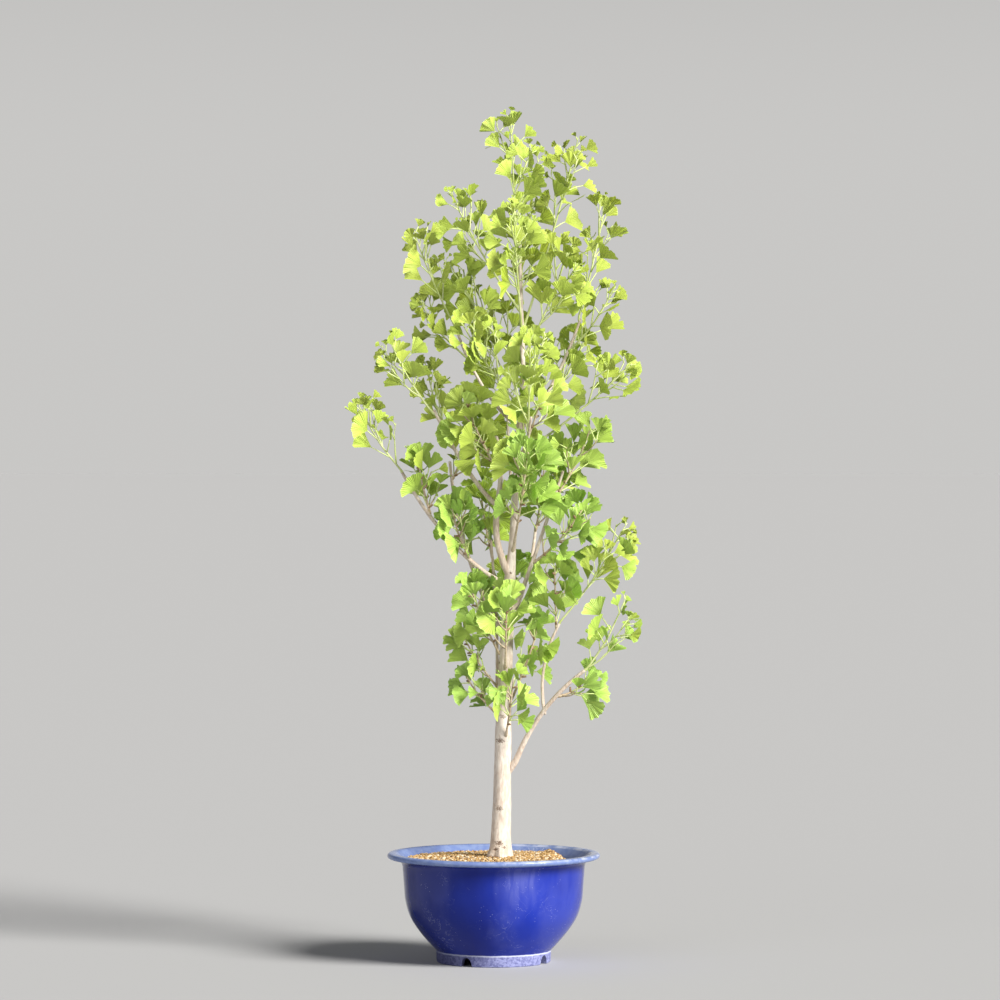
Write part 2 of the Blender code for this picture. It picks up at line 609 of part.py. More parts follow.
class Spray:
    """One mass of foliage: a stem from its limb, twigs that branch off it, and leaves along both."""

    def __init__(self, index, mass, limbs):
        self.index = index
        self.mass = mass
        self.middle = Vector(mass.middle)
        foot = self.middle - UP * mass.drop
        limb = limbs[mass.limb]
        place = limb.at_height(foot.z) if mass.limb == "trunk" else limb.nearest(foot)
        radius = min(STEM_RADIUS, place.radius * 0.85)
        start, foot_ring, elbow = limb_from(place, self.middle, radius)
        lead = (self.middle - start).normalized()
        self.grows = (lead * 0.5 + UP * 0.8).normalized()
        tall = mass.reach * (1 + (SPACE_STRETCH - 1) * abs(self.grows.z))
        tip = self.middle + self.grows * tall * 0.55
        bow = (self.middle - (elbow + tip) / 2) * 0.45
        bow -= lead * bow.dot(lead)
        points = [start] + bowed(elbow, tip, bow, STEM_RING_STEP)
        taper = STEM_TIP_RADIUS - radius
        radii = [radius + taper * k / (len(points) - 1) for k in range(len(points))]
        self.stem = Limb(mass.name, points, radii, foot_ring)
        self.twigs = []
        self.leaves = []
        self.taken = np.empty((0, 3))

    def grow(self, spaces, woods, most):
        """Grows the twigs, then leaves until there are as many as the mass has."""
        rng = random.Random(self.mass.seed)
        self.twigs = []
        self.leaves = []
        self.taken = np.empty((0, 3))
        nodes = self.stem_nodes(spaces)
        for k in range(TWIG_COUNT):
            self.add_twig(nodes, k, rng, spaces, woods)
        for twig in self.twigs:
            nodes += self.twig_nodes(twig)
        wood = Woods([self.stem, *self.twigs])
        whorl = SHOOT_WHORL if self.mass.habit == GREEN else SPUR_WHORL
        last = len(nodes) - 1
        tip_first = sorted(range(len(nodes)), key=lambda k: ((last - k) % 3, k))
        for rank in range(whorl):
            for k in tip_first:
                self.add_leaf(nodes[k], rank, k, rng, spaces, woods, wood, most)

    def leaf_size(self, share):
        """The size of the leaves at a share of a stem or twig: on a green shoot they shrink to the tip."""
        if self.mass.habit == GREEN:
            return 1 - TIP_SHRINK * share**2
        return 1 - 0.15 * share**4

    def stem_nodes(self, spaces):
        """The places along the stem, inside the mass's own space, that bear leaves."""
        spots = []
        points = self.stem.points
        step = SHOOT_STEP if self.mass.habit == GREEN else SPUR_STEP
        left_over = 0
        for a, b in zip(points[1:], points[2:]):
            span = (b - a).length
            at = left_over
            while at < span:
                point = a.lerp(b, at / span)
                if spaces.holds(self.index, [point]):
                    spots.append((point, (b - a).normalized()))
                at += step
            left_over = at - span
        spots.append((points[-1] - (points[-1] - points[-2]).normalized() * 0.003, self.grows))
        last = max(1, len(spots) - 1)
        return [Node(point, way, self.leaf_size(k / last)) for k, (point, way) in enumerate(spots)]

    def twig_nodes(self, twig):
        """The places along a twig that bear leaves."""
        root, elbow, tip = twig.points
        if self.mass.habit == GREEN:
            count = max(2, round((tip - root).length * 0.75 / SHOOT_STEP))
            shares = [0.25 + 0.75 * (k + 1) / count for k in range(count)]
        else:
            shares = [0.5, 1.0]
        nodes = []
        for share in shares:
            a, b = (root, elbow) if share <= 0.5 else (elbow, tip)
            point = a.lerp(b, min(1, share * 2 - (0 if share <= 0.5 else 1)))
            direction = (b - a).normalized()
            nodes.append(Node(point - direction * 0.003, direction, self.leaf_size(share)))
        return nodes

    def add_twig(self, nodes, k, rng, spaces, woods):
        """A side twig, steep on a green shoot and at half a right angle on old wood, which turns up."""
        node = nodes[min(len(nodes) - 1, int(len(nodes) * (k + 0.3) / (TWIG_COUNT + 0.8)))]
        turn = GOLDEN_ANGLE * k + rng.uniform(0, 2 * math.pi)
        share = rng.uniform(0.0, 1.0)
        side = Matrix.Rotation(turn, 3, node.direction) @ node.direction.orthogonal().normalized()
        if self.mass.habit == GREEN:
            heading = (node.direction * 0.75 + side * 0.52 + UP * 0.25).normalized()
            length = self.mass.reach * (0.75 + 0.40 * share)
        else:
            heading = (node.direction * 0.55 + side * 0.75 + UP * 0.2).normalized()
            length = self.mass.reach * (0.55 + 0.25 * share)
        root = node.point
        for attempt in range(5):
            elbow = root + heading * length * 0.5
            tip = elbow + (heading + UP * 0.35).normalized() * length * 0.5
            path = samples(root, elbow)[1:] + samples(elbow, tip)[1:]
            if spaces.holds(self.index, [elbow, tip]) and woods.clear(path, self.mass.name):
                self.twigs.append(Limb("twig", [root, elbow, tip], TWIG_RADII))
                return
            length *= 0.78

    def add_leaf(self, node, rank, k, rng, spaces, woods, wood, most):
        """One leaf, made smaller until it fits the space and clears the limbs, or left out."""
        turn = GOLDEN_ANGLE * (rank * 3 + k) + rng.uniform(-0.4, 0.4)
        spread = math.radians(rng.uniform(32, 74))
        draws = (rng.random(), rng.random(), rng.uniform(-0.20, 0.38), math.radians(rng.uniform(-58, 58)))
        draws += (rng.uniform(0.0, 0.75), math.radians(rng.uniform(*BLADE_HALF_ANGLE)), rng.uniform(-0.10, 0.12))
        if len(self.leaves) >= most:
            return
        root = node.point - node.direction * NODE_LENGTH * rank / SPUR_WHORL
        side = Matrix.Rotation(turn, 3, node.direction) @ node.direction.orthogonal().normalized()
        stalk = (node.direction * math.cos(spread) + side * math.sin(spread) + UP * 0.25).normalized()
        for blade_size in BLADE_SIZES:
            for stalk_size in STALK_SIZES:
                leaf = place_leaf(root, stalk, node.size * blade_size, stalk_size, draws)
                if self.accepts(leaf, spaces, woods, wood):
                    self.leaves.append(leaf)
                    return

    def accepts(self, leaf, spaces, woods, wood):
        """Whether a leaf keeps to the mass's space and clears the limbs, the twigs and the leaves before it."""
        if not spaces.holds(self.index, leaf_corners(leaf)):
            return False
        points = leaf_samples(leaf)
        free = np.array([p for p in points if (p - leaf.root).length > ROOT_ZONE])
        if len(self.taken):
            apart = ((free[:, None] - self.taken[None]) ** 2).sum(2)
            if apart.min() < LEAF_CLEARANCE**2:
                return False
        if not (woods.clear(points, self.mass.name) and wood.clear(free, None)):
            return False
        self.taken = np.vstack((self.taken, free))
        return True


def leaf_bmesh(leaf):
    """A leaf as one closed solid of fourteen faces."""
    bm = bmesh.new()
    corners = [bm.verts.new(corner) for corner in leaf_corners(leaf)]
    root_left, root_right, root_under, left, right, under, tip_left, tip_right, tip = corners
    bm.faces.new((root_left, root_right, root_under))
    for a, b, c, d in (
        (root_left, root_right, right, left),
        (root_right, root_under, under, right),
        (root_under, root_left, left, under),
    ):
        bm.faces.new((a, b, c))
        bm.faces.new((a, c, d))
    for face in (
        (left, tip, tip_left),
        (left, right, tip),
        (right, tip_right, tip),
        (under, tip_left, tip),
        (under, tip, tip_right),
        (left, tip_left, under),
        (right, under, tip_right),
    ):
        bm.faces.new(face)
    return bm


def fuse(stem, others, solver):
    """The stem's mesh with all the others joined to it by one Boolean union."""
    group = bpy.data.collections.new("fusing")
    for other in others:
        group.objects.link(other)
    union = stem.modifiers.new("union", "BOOLEAN")
    union.operation = "UNION"
    union.operand_type = "COLLECTION"
    union.collection = group
    union.solver = solver
    graph = bpy.context.evaluated_depsgraph_get()
    mesh = bpy.data.meshes.new_from_object(stem.evaluated_get(graph))
    stem.modifiers.remove(union)
    bpy.data.collections.remove(group)
    return mesh


def islands(bm):
    """The separate pieces of a bmesh, as lists of faces."""
    pieces = []
    seen = set()
    for first in bm.faces:
        if first in seen:
            continue
        piece, waiting = [], [first]
        seen.add(first)
        while waiting:
            face = waiting.pop()
            piece.append(face)
            for edge in face.edges:
                for linked in edge.link_faces:
                    if linked not in seen:
                        seen.add(linked)
                        waiting.append(linked)
        pieces.append(piece)
    return pieces


def keep_whole(mesh):
    """Triangulates a fused mesh and keeps its one main piece: sealed hollows are filled and loose scraps dropped."""
    bm = bmesh.new()
    bm.from_mesh(mesh)
    bmesh.ops.remove_doubles(bm, verts=bm.verts, dist=2e-6)
    bmesh.ops.dissolve_degenerate(bm, edges=bm.edges, dist=1e-6)
    bmesh.ops.triangulate(bm, faces=bm.faces)
    pieces = sorted(islands(bm), key=len)
    for piece in pieces[:-1]:
        bmesh.ops.delete(bm, geom=piece, context="FACES")
    bmesh.ops.delete(bm, geom=[v for v in bm.verts if not v.link_faces], context="VERTS")
    whole = all(len(edge.link_faces) == 2 for edge in bm.edges)
    bm.to_mesh(mesh)
    bm.free()
    return whole


def build_mass(spray, green):
    """A mass of foliage fused into one solid."""
    name = spray.mass.name
    leaves = list(spray.leaves)
    while True:
        stem = add_object(name, tube(spray.stem, STEM_SIDES), green)
        others = [add_object("twig", tube(twig, STEM_SIDES)) for twig in spray.twigs]
        others += [add_object("leaf", leaf_bmesh(leaf)) for leaf in leaves]
        for solver in ("EXACT", "MANIFOLD"):
            fused = fuse(stem, others, solver)
            whole = keep_whole(fused)
            if whole:
                break
        for other in others:
            bpy.data.objects.remove(other)
        if whole:
            stem.data = fused
            return stem
        bpy.data.objects.remove(stem)
        leaves.pop()


def plan():
    """The limbs and the sprays of the whole plant, grown but not yet built."""
    limbs = {"trunk": trunk_limb()}
    for bough in BOUGHS:
        limbs[bough.name] = bough_limb(bough, limbs)
    sprays = [Spray(index, mass, limbs) for index, mass in enumerate(MASSES)]
    spaces = Spaces(MASSES)
    woods = Woods([*limbs.values(), *(spray.stem for spray in sprays)])
    for spray in sprays:
        spray.grow(spaces, woods, spray.mass.leaves)
    return limbs, sprays, spaces, woods


def centre_on_origin():
    """Shifts every piece sideways, so that the bounding box is centred over the origin."""
    bpy.context.view_layer.update()
    shown = [obj for obj in bpy.context.scene.objects if not obj.hide_render]
    corners = [obj.matrix_world @ Vector(corner) for obj in shown for corner in obj.bound_box]
    middle_x = (min(c.x for c in corners) + max(c.x for c in corners)) / 2
    middle_y = (min(c.y for c in corners) + max(c.y for c in corners)) / 2
    for obj in bpy.context.scene.objects:
        obj.data.transform(Matrix.Translation((-middle_x, -middle_y, 0)))


def main():
    """Clears the scene and builds the pot, the soil, the limbs and the foliage."""
    for obj in list(bpy.data.objects):
        bpy.data.objects.remove(obj)
    build_pot()
    build_soil()
    limbs, sprays, _, _ = plan()
    bark = principled("pale_bark", (0.50, 0.40, 0.30), 0.85)
    green = principled("leaf_green", (0.42, 0.60, 0.08), 0.6)
    for limb in limbs.values():
        sides = TRUNK_SIDES if limb.name == "trunk" else BOUGH_SIDES
        add_object(limb.name, tube(limb, sides), bark, math.radians(50))
    for spray in sprays:
        build_mass(spray, green)
    centre_on_origin()


main()
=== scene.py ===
"""The looks of a young ginkgo in a blue glazed bowl pot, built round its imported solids.

Metres, +Z up, X to the viewer's right and Y away from the viewer. The plant's own sizes are given from the
pot's axis, as in the part's source, and every piece is moved to where the frame has that axis.
"""

import logging
from dataclasses import dataclass, field
from enum import Enum
from itertools import combinations
from math import atan2, ceil, cos, dist, exp, hypot, pi, radians, sin, sqrt
from random import Random
from typing import Callable, Iterable, NamedTuple

import bmesh
import bpy
import numpy as np
from bpy.types import Material, Node, NodeTree, Object
from bpy.types import NodeSocket as Socket
from mathutils import Matrix, Vector, noise


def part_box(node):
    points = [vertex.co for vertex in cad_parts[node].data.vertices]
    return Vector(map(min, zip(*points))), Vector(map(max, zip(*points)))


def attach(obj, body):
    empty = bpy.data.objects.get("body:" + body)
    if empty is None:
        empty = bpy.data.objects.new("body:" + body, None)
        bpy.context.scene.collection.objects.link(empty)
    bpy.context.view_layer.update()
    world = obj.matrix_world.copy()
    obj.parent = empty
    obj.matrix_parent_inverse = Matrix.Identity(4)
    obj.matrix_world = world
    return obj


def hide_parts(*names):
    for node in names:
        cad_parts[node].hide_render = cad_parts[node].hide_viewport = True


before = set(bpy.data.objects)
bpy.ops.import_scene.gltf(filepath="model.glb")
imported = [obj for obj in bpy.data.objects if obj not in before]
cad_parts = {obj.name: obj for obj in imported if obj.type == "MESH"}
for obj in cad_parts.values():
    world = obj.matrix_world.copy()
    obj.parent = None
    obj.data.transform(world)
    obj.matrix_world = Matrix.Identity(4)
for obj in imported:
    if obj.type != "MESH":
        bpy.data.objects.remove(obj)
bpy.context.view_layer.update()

UP = Vector((0, 0, 1))
GOLDEN_ANGLE = radians(137.5)
CROWN_MIDDLE = 0.030
ROOT_BODY = "root"
Colour = tuple[float, float, float]
Span = tuple[float, float]
Relief = Callable[[Vector, Vector], float]
Contour = list[Span]
Rings = tuple[list[Vector], list[float]]
log = logging.getLogger("potted_ginkgo")


def pot_axis() -> Vector:
    """The point on the ground under the pot's middle, in the frame."""
    low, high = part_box("pot")
    return Vector(((low.x + high.x) / 2, (low.y + high.y) / 2, 0))


AXIS = pot_axis()


def blend(low: float, high: float, share: float) -> float:
    """Goes a share of the way from one value to another."""
    return low + (high - low) * share


def tapered(first: float, last: float, count: int) -> list[float]:
    """Spreads values evenly from the first to the last."""
    return [first + (last - first) * k / (count - 1) for k in range(count)]


def within(value: float) -> float:
    """Keeps a value from 0 to 1."""
    return min(1, max(0, value))


def side_of(direction: Vector, turn: float) -> Vector:
    """Makes a unit vector square to a direction and turned round it."""
    return Matrix.Rotation(turn, 3, direction) @ direction.orthogonal().normalized()


def show(obj: Object) -> None:
    """Puts an object into the scene."""
    bpy.context.scene.collection.objects.link(obj)


# The plant's plan: the trunk, its boughs and the masses of foliage, as in the part's source


class Growth(NamedTuple):
    """The sizes of one way of growing.

    They are how far apart its nodes are, how many leaves a node bears, and how much and how late these shrink
    to the tip; how far a twig heads onward, sideways and up, its least length and how much longer it may be,
    in reaches of its mass; and a finer twig's range of length, in reaches on green shoots and in lengths of
    the twig on old wood, and how far it heads sideways.
    """

    node_step: float
    whorl: int
    shrink: float
    shrink_power: int
    onward: float
    sideways: float
    upward: float
    shortest: float
    longer: float
    fine_lengths: Span
    fine_sideways: float


class Habit(Enum):
    """How a mass grows: this year's long shoots with single leaves, or older twigs with whorls on spurs."""

    GREEN = Growth(0.0105, 2, 0.38, 2, 0.75, 0.52, 0.25, 0.75, 0.40, (0.50, 0.90), 0.60)
    WOODY = Growth(0.0140, 5, 0.15, 4, 0.55, 0.75, 0.20, 0.55, 0.25, (0.40, 0.65), 0.80)


class Station(NamedTuple):
    """One height of the trunk, its lean to the right there and its radius."""

    height: float
    lean: float
    radius: float


class Bough(NamedTuple):
    """A bough: its limb, where it leaves it, its tip, how far its middle bows out, and its radii."""

    name: str
    limb: str
    leaves_at: float
    tip: tuple[float, float, float]
    bow: tuple[float, float, float]
    foot_radius: float
    tip_radius: float

    @property
    def node(self) -> str:
        """The name of its node."""
        return f"bough_{self.name}"


class Mass(NamedTuple):
    """A mass of foliage: its limb, middle and reach, how far below that its stem starts, and its growth."""

    name: str
    limb: str
    middle: tuple[float, float, float]
    reach: float
    drop: float
    leaves: int
    seed: int
    habit: Habit = Habit.WOODY

    @property
    def node(self) -> str:
        """The name of its node."""
        return f"leaves_{self.name}"


TRUNK = (
    Station(0.1468, 0.0085, 0.0162),
    Station(0.158, 0.0096, 0.0146),
    Station(0.180, 0.0100, 0.0138),
    Station(0.226, 0.0123, 0.0127),
    Station(0.345, 0.0136, 0.0108),
    Station(0.405, 0.0165, 0.0100),
    Station(0.530, 0.0217, 0.0084),
    Station(0.580, 0.0270, 0.0054),
    Station(0.706, 0.0325, 0.0043),
    Station(0.814, 0.0427, 0.0036),
    Station(0.925, 0.0378, 0.0027),
    Station(1.020, 0.0364, 0.0021),
)
BOUGHS = (
    Bough("low_right", "trunk", 0.266, (0.128, -0.026, 0.410), (-0.0105, 0, 0.008), 0.0044, 0.0023),
    Bough("low_right_arm", "low_right", 0.352, (0.092, -0.010, 0.474), (-0.009, 0, 0.002), 0.0024, 0.0018),
    Bough("side_stem", "trunk", 0.372, (-0.004, 0.022, 0.590), (0.003, 0.004, 0), 0.0024, 0.0018),
    Bough("back_left", "trunk", 0.455, (-0.062, 0.070, 0.700), (-0.012, 0, -0.004), 0.0034, 0.0019),
    Bough("back_right", "trunk", 0.470, (0.060, 0.095, 0.610), (0.006, 0.008, -0.004), 0.0032, 0.0019),
    Bough("right", "trunk", 0.492, (0.097, -0.012, 0.687), (0.001, 0, 0), 0.0032, 0.0020),
    Bough("low_left", "trunk", 0.522, (-0.128, -0.014, 0.686), (-0.008, 0, -0.009), 0.0036, 0.0021),
    Bough("second_stem", "trunk", 0.541, (0.007, -0.014, 0.645), (-0.006, 0, 0), 0.0046, 0.0042),
    Bough("inner_left", "second_stem", 0.660, (0.004, -0.016, 0.735), (0.004, 0, 0), 0.0036, 0.0026),
    Bough("long_left", "second_stem", 0.634, (-0.083, -0.020, 0.772), (-0.003, 0, -0.003), 0.0034, 0.0021),
    Bough("front", "trunk", 0.690, (0.052, -0.080, 0.762), (0.002, -0.006, -0.004), 0.0026, 0.0018),
    Bough("back", "trunk", 0.640, (0.020, 0.090, 0.770), (-0.002, 0.008, -0.004), 0.0026, 0.0018),
    Bough("upper_right", "trunk", 0.742, (0.122, 0.010, 0.900), (0.004, 0, -0.006), 0.0028, 0.0018),
    Bough("upper_left", "trunk", 0.745, (-0.052, 0.012, 0.885), (-0.006, 0, -0.008), 0.0026, 0.0018),
)
MASSES = (
    Mass("leader", "trunk", (0.026, 0.000, 1.114), 0.060, 0.110, 15, 0, Habit.GREEN),
    Mass("top_right", "trunk", (0.108, 0.012, 1.090), 0.054, 0.200, 11, 18, Habit.GREEN),
    Mass("top_left", "trunk", (-0.042, -0.010, 1.018), 0.055, 0.105, 11, 13, Habit.GREEN),
    Mass("high_left", "upper_left", (-0.100, -0.010, 0.973), 0.048, 0.080, 9, 15, Habit.GREEN),
    Mass("high_right", "upper_right", (0.150, 0.020, 1.008), 0.052, 0.120, 7, 10, Habit.GREEN),
    Mass("high_front", "trunk", (0.030, -0.062, 0.990), 0.056, 0.110, 11, 10, Habit.GREEN),
    Mass("high_back", "trunk", (0.040, 0.068, 1.000), 0.060, 0.105, 11, 15, Habit.GREEN),
    Mass("shoulder_left", "trunk", (-0.040, 0.015, 0.920), 0.052, 0.085, 9, 14, Habit.GREEN),
    Mass("shoulder_right", "trunk", (0.094, -0.015, 0.945), 0.056, 0.095, 11, 0, Habit.GREEN),
    Mass("outer_left", "upper_left", (-0.088, 0.020, 0.885), 0.044, 0.060, 7, 15, Habit.GREEN),
    Mass("outer_right", "upper_right", (0.152, -0.010, 0.898), 0.044, 0.060, 7, 11, Habit.GREEN),
    Mass("far_left", "long_left", (-0.131, -0.020, 0.825), 0.046, 0.080, 8, 11, Habit.GREEN),
    Mass("left_tip", "low_left", (-0.174, -0.015, 0.736), 0.048, 0.070, 9, 15, Habit.GREEN),
    Mass("left_mid", "long_left", (-0.086, 0.010, 0.784), 0.050, 0.055, 9, 5, Habit.GREEN),
    Mass("left_inner", "trunk", (-0.030, -0.030, 0.850), 0.052, 0.070, 10, 6, Habit.GREEN),
    Mass("middle_front", "front", (0.050, -0.095, 0.810), 0.060, 0.080, 12, 12, Habit.GREEN),
    Mass("middle_back", "back", (0.020, 0.095, 0.855), 0.062, 0.080, 12, 11, Habit.GREEN),
    Mass("right_inner", "upper_right", (0.112, 0.020, 0.823), 0.054, 0.060, 11, 11, Habit.GREEN),
    Mass("far_right", "trunk", (0.172, -0.020, 0.797), 0.046, 0.085, 9, 8, Habit.GREEN),
    Mass("left_low_tip", "low_left", (-0.102, -0.010, 0.671), 0.044, 0.050, 8, 0),
    Mass("heart_left", "inner_left", (-0.030, -0.035, 0.745), 0.052, 0.060, 10, 17),
    Mass("heart_right", "trunk", (0.066, -0.025, 0.772), 0.050, 0.065, 9, 3),
    Mass("heart_front", "trunk", (0.045, -0.065, 0.672), 0.056, 0.095, 11, 7),
    Mass("heart_back", "back_left", (-0.030, 0.085, 0.735), 0.058, 0.060, 11, 0),
    Mass("right_mid", "right", (0.124, -0.005, 0.702), 0.056, 0.060, 11, 9),
    Mass("left_low", "low_left", (-0.052, -0.020, 0.600), 0.048, 0.050, 9, 4),
    Mass("back_low_left", "side_stem", (-0.016, 0.060, 0.625), 0.050, 0.060, 9, 4),
    Mass("right_low", "right", (0.112, -0.030, 0.600), 0.050, 0.060, 10, 4),
    Mass("far_right_low", "low_right_arm", (0.164, -0.010, 0.556), 0.054, 0.080, 11, 19, Habit.GREEN),
    Mass("back_low_right", "back_right", (0.070, 0.100, 0.660), 0.056, 0.060, 11, 6),
    Mass("foot_left", "trunk", (-0.026, -0.010, 0.492), 0.046, 0.060, 9, 13),
    Mass("foot_front", "trunk", (0.018, -0.052, 0.478), 0.046, 0.065, 9, 9),
    Mass("foot_back", "trunk", (0.030, 0.062, 0.510), 0.050, 0.085, 9, 11),
    Mass("foot_right", "low_right_arm", (0.086, -0.005, 0.520), 0.044, 0.050, 8, 0),
    Mass("knee_right", "trunk", (0.058, -0.010, 0.440), 0.044, 0.070, 9, 3),
    Mass("low_right_tip", "low_right", (0.166, -0.035, 0.455), 0.050, 0.060, 7, 0, Habit.GREEN),
    Mass("low_right", "low_right", (0.120, -0.015, 0.376), 0.044, 0.030, 6, 9),
    Mass("low_left", "trunk", (-0.036, 0.005, 0.430), 0.040, 0.045, 7, 3),
    Mass("lowest_left", "trunk", (-0.032, 0.005, 0.378), 0.034, 0.030, 5, 19),
    Mass("low_front", "trunk", (0.026, -0.036, 0.368), 0.040, 0.050, 7, 5),
)


@dataclass(frozen=True)
class GrowthRule:
    """The sizes by which limbs, stems, twigs and leaves are laid out, as in the part's source.

    The scene's own values are the number of leaves for each one there, their life size, finer twigs and tips.
    """

    gap: float = 0.0003
    trunk_step: float = 0.050
    bough_step: float = 0.028
    collar_length: float = 0.6
    tip_collar_length: float = 1.5
    least_spread: float = 0.36
    space_stretch: float = 1.4
    limb_clearance: float = 0.0022
    woods_margin: float = 0.02
    stem_radius: float = 0.0020
    stem_share_of_limb: float = 0.85
    stem_tip_radius: float = 0.0010
    stem_ring_step: float = 0.040
    stem_reach: float = 0.55
    stem_bow: float = 0.45
    stem_heading: Span = (0.5, 0.8)
    twig_radii: tuple[float, float, float] = (0.0013, 0.0011, 0.0007)
    twig_count: int = 3
    twigs_from: float = 0.3
    twigs_short_of_tip: float = 0.8
    twig_tries: int = 5
    twig_shortening: float = 0.78
    elbow_rise: float = 0.35
    twig_step: float = 0.005
    fine_seed: int = 1000
    fine_from: float = 0.45
    fine_apart: float = 0.5
    fine_twigs: int = 2
    fine_radius: float = 0.8
    fine_onward: float = 0.65
    fine_upward: float = 0.15
    node_length: float = 0.0085
    ranks_in_node: int = 5
    node_inset: float = 0.002
    bare_foot: float = 0.25
    leaves_for_one: tuple[Span, ...] = (
        (0.37, 2.0),
        (0.48, 2.05),
        (0.55, 2.8),
        (0.65, 2.8),
        (0.672, 4.0),
        (0.70, 2.3),
        (0.87, 2.15),
        (0.93, 2.5),
    )
    outlying_for_one: float = 1.6
    outlying_from: Span = (0.07, 0.14)
    frontward_weight: float = 1.1
    topmost_from: Span = (0.95, 1.08)
    tip_seed: int = 2000
    tip_length: float = 0.032
    tip_shares: Span = (0.7, 1.0)
    tip_least: float = 0.008
    tip_shortening: float = 0.85
    tip_bend: float = 0.2
    tip_rings: int = 6
    tip_radius: float = 0.0004
    tip_places: tuple[float, ...] = (0.35, 0.68, 0.97)
    tip_leaf_sizes: tuple[float, ...] = (0.50, 0.38, 0.28)
    tip_leaf_tries: tuple[float, ...] = (1.0, 0.8, 0.65)
    tip_stalk_size: float = 0.8
    tip_leaf_scatter: Span = (-0.6, 0.6)
    tip_leaf_heading: Span = (0.8, 0.6)
    leaf_scatter: Span = (-0.4, 0.4)
    leaf_spread: Span = (32, 74)
    leaf_rise: float = 0.25
    leaf_droop: Span = (-0.20, 0.38)
    leaf_turn: Span = (-58, 58)
    leaf_tilt: Span = (0.0, 0.75)
    leaf_cup: Span = (-0.10, 0.12)
    faces_back_from: float = 0.02
    stalk_length: Span = (0.020, 0.034)
    blade_length: Span = (0.022, 0.031)
    blade_half_angle: Span = (34, 54)
    blade_sizes: tuple[float, ...] = (1.0, 0.90, 0.80, 0.70)
    stalk_sizes: tuple[float, ...] = (1.0, 0.7, 0.45)
    least_stalk: float = 0.45
    leaf_clearance: float = 0.0020
    root_zone: float = 0.008


RULE = GrowthRule()


class Place(NamedTuple):
    """A place on a limb: the point, the limb's direction and radius there, and whether it is the tip."""

    point: Vector
    direction: Vector
    radius: float
    is_tip: bool


@dataclass
class Limb:
    """A round tapering limb: the middles of its rings, their radii, and the way it sets out."""

    name: str
    points: list[Vector]
    radii: list[float]
    lead: Vector

    def nearest(self, target: Vector) -> Place:
        """Finds the place on the middle line nearest to a point.

        Args:
            target: The point.

        Returns:
            The nearest place.
        """
        best = None
        last = len(self.points) - 2
        for k, (a, b) in enumerate(zip(self.points, self.points[1:])):
            along = b - a
            share = within((target - a).dot(along) / along.length_squared)
            point = a + along * share
            away = (target - point).length
            if best is None or away < best[0]:
                radius = blend(self.radii[k], self.radii[k + 1], share)
                best = (away, Place(point, along.normalized(), radius, k == last and share > 0.999))
        return best[1]

    def at_height(self, height: float) -> Place:
        """Finds where the middle line first reaches a height.

        Args:
            height: The height.

        Returns:
            That place, or the tip if the limb ends lower.
        """
        for k, (a, b) in enumerate(zip(self.points, self.points[1:])):
            if b.z >= height:
                share = (height - a.z) / (b.z - a.z)
                radius = blend(self.radii[k], self.radii[k + 1], share)
                return Place(a.lerp(b, share), (b - a).normalized(), radius, False)
        end = (self.points[-1] - self.points[-2]).normalized()
        return Place(self.points[-1], end, self.radii[-1], True)

    def fine(self, step: float) -> Rings:
        """Rounds the middle line off between its rings.

        Args:
            step: The distance between the new rings.

        Returns:
            The middles and the radii of the new rings.
        """
        points, radii = [], []
        last = len(self.points) - 1
        for k in range(last):
            a, b = self.points[k], self.points[k + 1]
            before = self.points[k - 1] if k else a - self.lead * (b - a).length
            after = self.points[k + 2] if k + 2 <= last else b + (b - a)
            count = max(1, ceil((b - a).length / step))
            for j in range(count):
                t = j / count
                bend = (2 * a) + (b - before) * t + (2 * before - 5 * a + 4 * b - after) * t * t
                points.append((bend + (3 * a - before - 3 * b + after) * t**3) / 2)
                radii.append(blend(self.radii[k], self.radii[k + 1], t))
        points.append(self.points[-1].copy())
        radii.append(self.radii[-1])
        return points, radii


def across(direction: Vector, hint: Vector) -> Vector:
    """Makes a unit vector square to a direction.

    Args:
        direction: The direction.
        hint: The way the result points as nearly as it can.

    Returns:
        The unit vector.
    """
    side = hint - direction * hint.dot(direction)
    if side.length < 1e-6:
        side = direction.orthogonal()
    return side.normalized()


def trunk_limb() -> Limb:
    """Lays out the trunk through its stations.

    Returns:
        The trunk.
    """
    points, radii = [], []
    for low, high in zip(TRUNK, TRUNK[1:]):
        steps = max(1, round((high.height - low.height) / RULE.trunk_step))
        for k in range(steps):
            share = k / steps
            lean, height = blend(low.lean, high.lean, share), blend(low.height, high.height, share)
            points.append(Vector((lean, 0, height)))
            radii.append(blend(low.radius, high.radius, share))
    points.append(Vector((TRUNK[-1].lean, 0, TRUNK[-1].height)))
    radii.append(TRUNK[-1].radius)
    smooth = [p.copy() for p in points]
    for k in range(2, len(points) - 1):
        smooth[k].x = (points[k - 1].x + 2 * points[k].x + points[k + 1].x) / 4
    return Limb("trunk", smooth, radii, UP)


def bowed(start: Vector, tip: Vector, bow: Vector, step: float) -> list[Vector]:
    """Lays points on a curve whose middle lies off the straight.

    Args:
        start: Its start.
        tip: Its end.
        bow: How far its middle lies off the straight.
        step: About how far apart its points are.

    Returns:
        The points.
    """
    knee = (start + tip) / 2 + 2 * bow
    count = max(2, round((tip - start).length / step))
    shares = [k / count for k in range(count + 1)]
    return [start * (1 - t) ** 2 + knee * 2 * t * (1 - t) + tip * t**2 for t in shares]


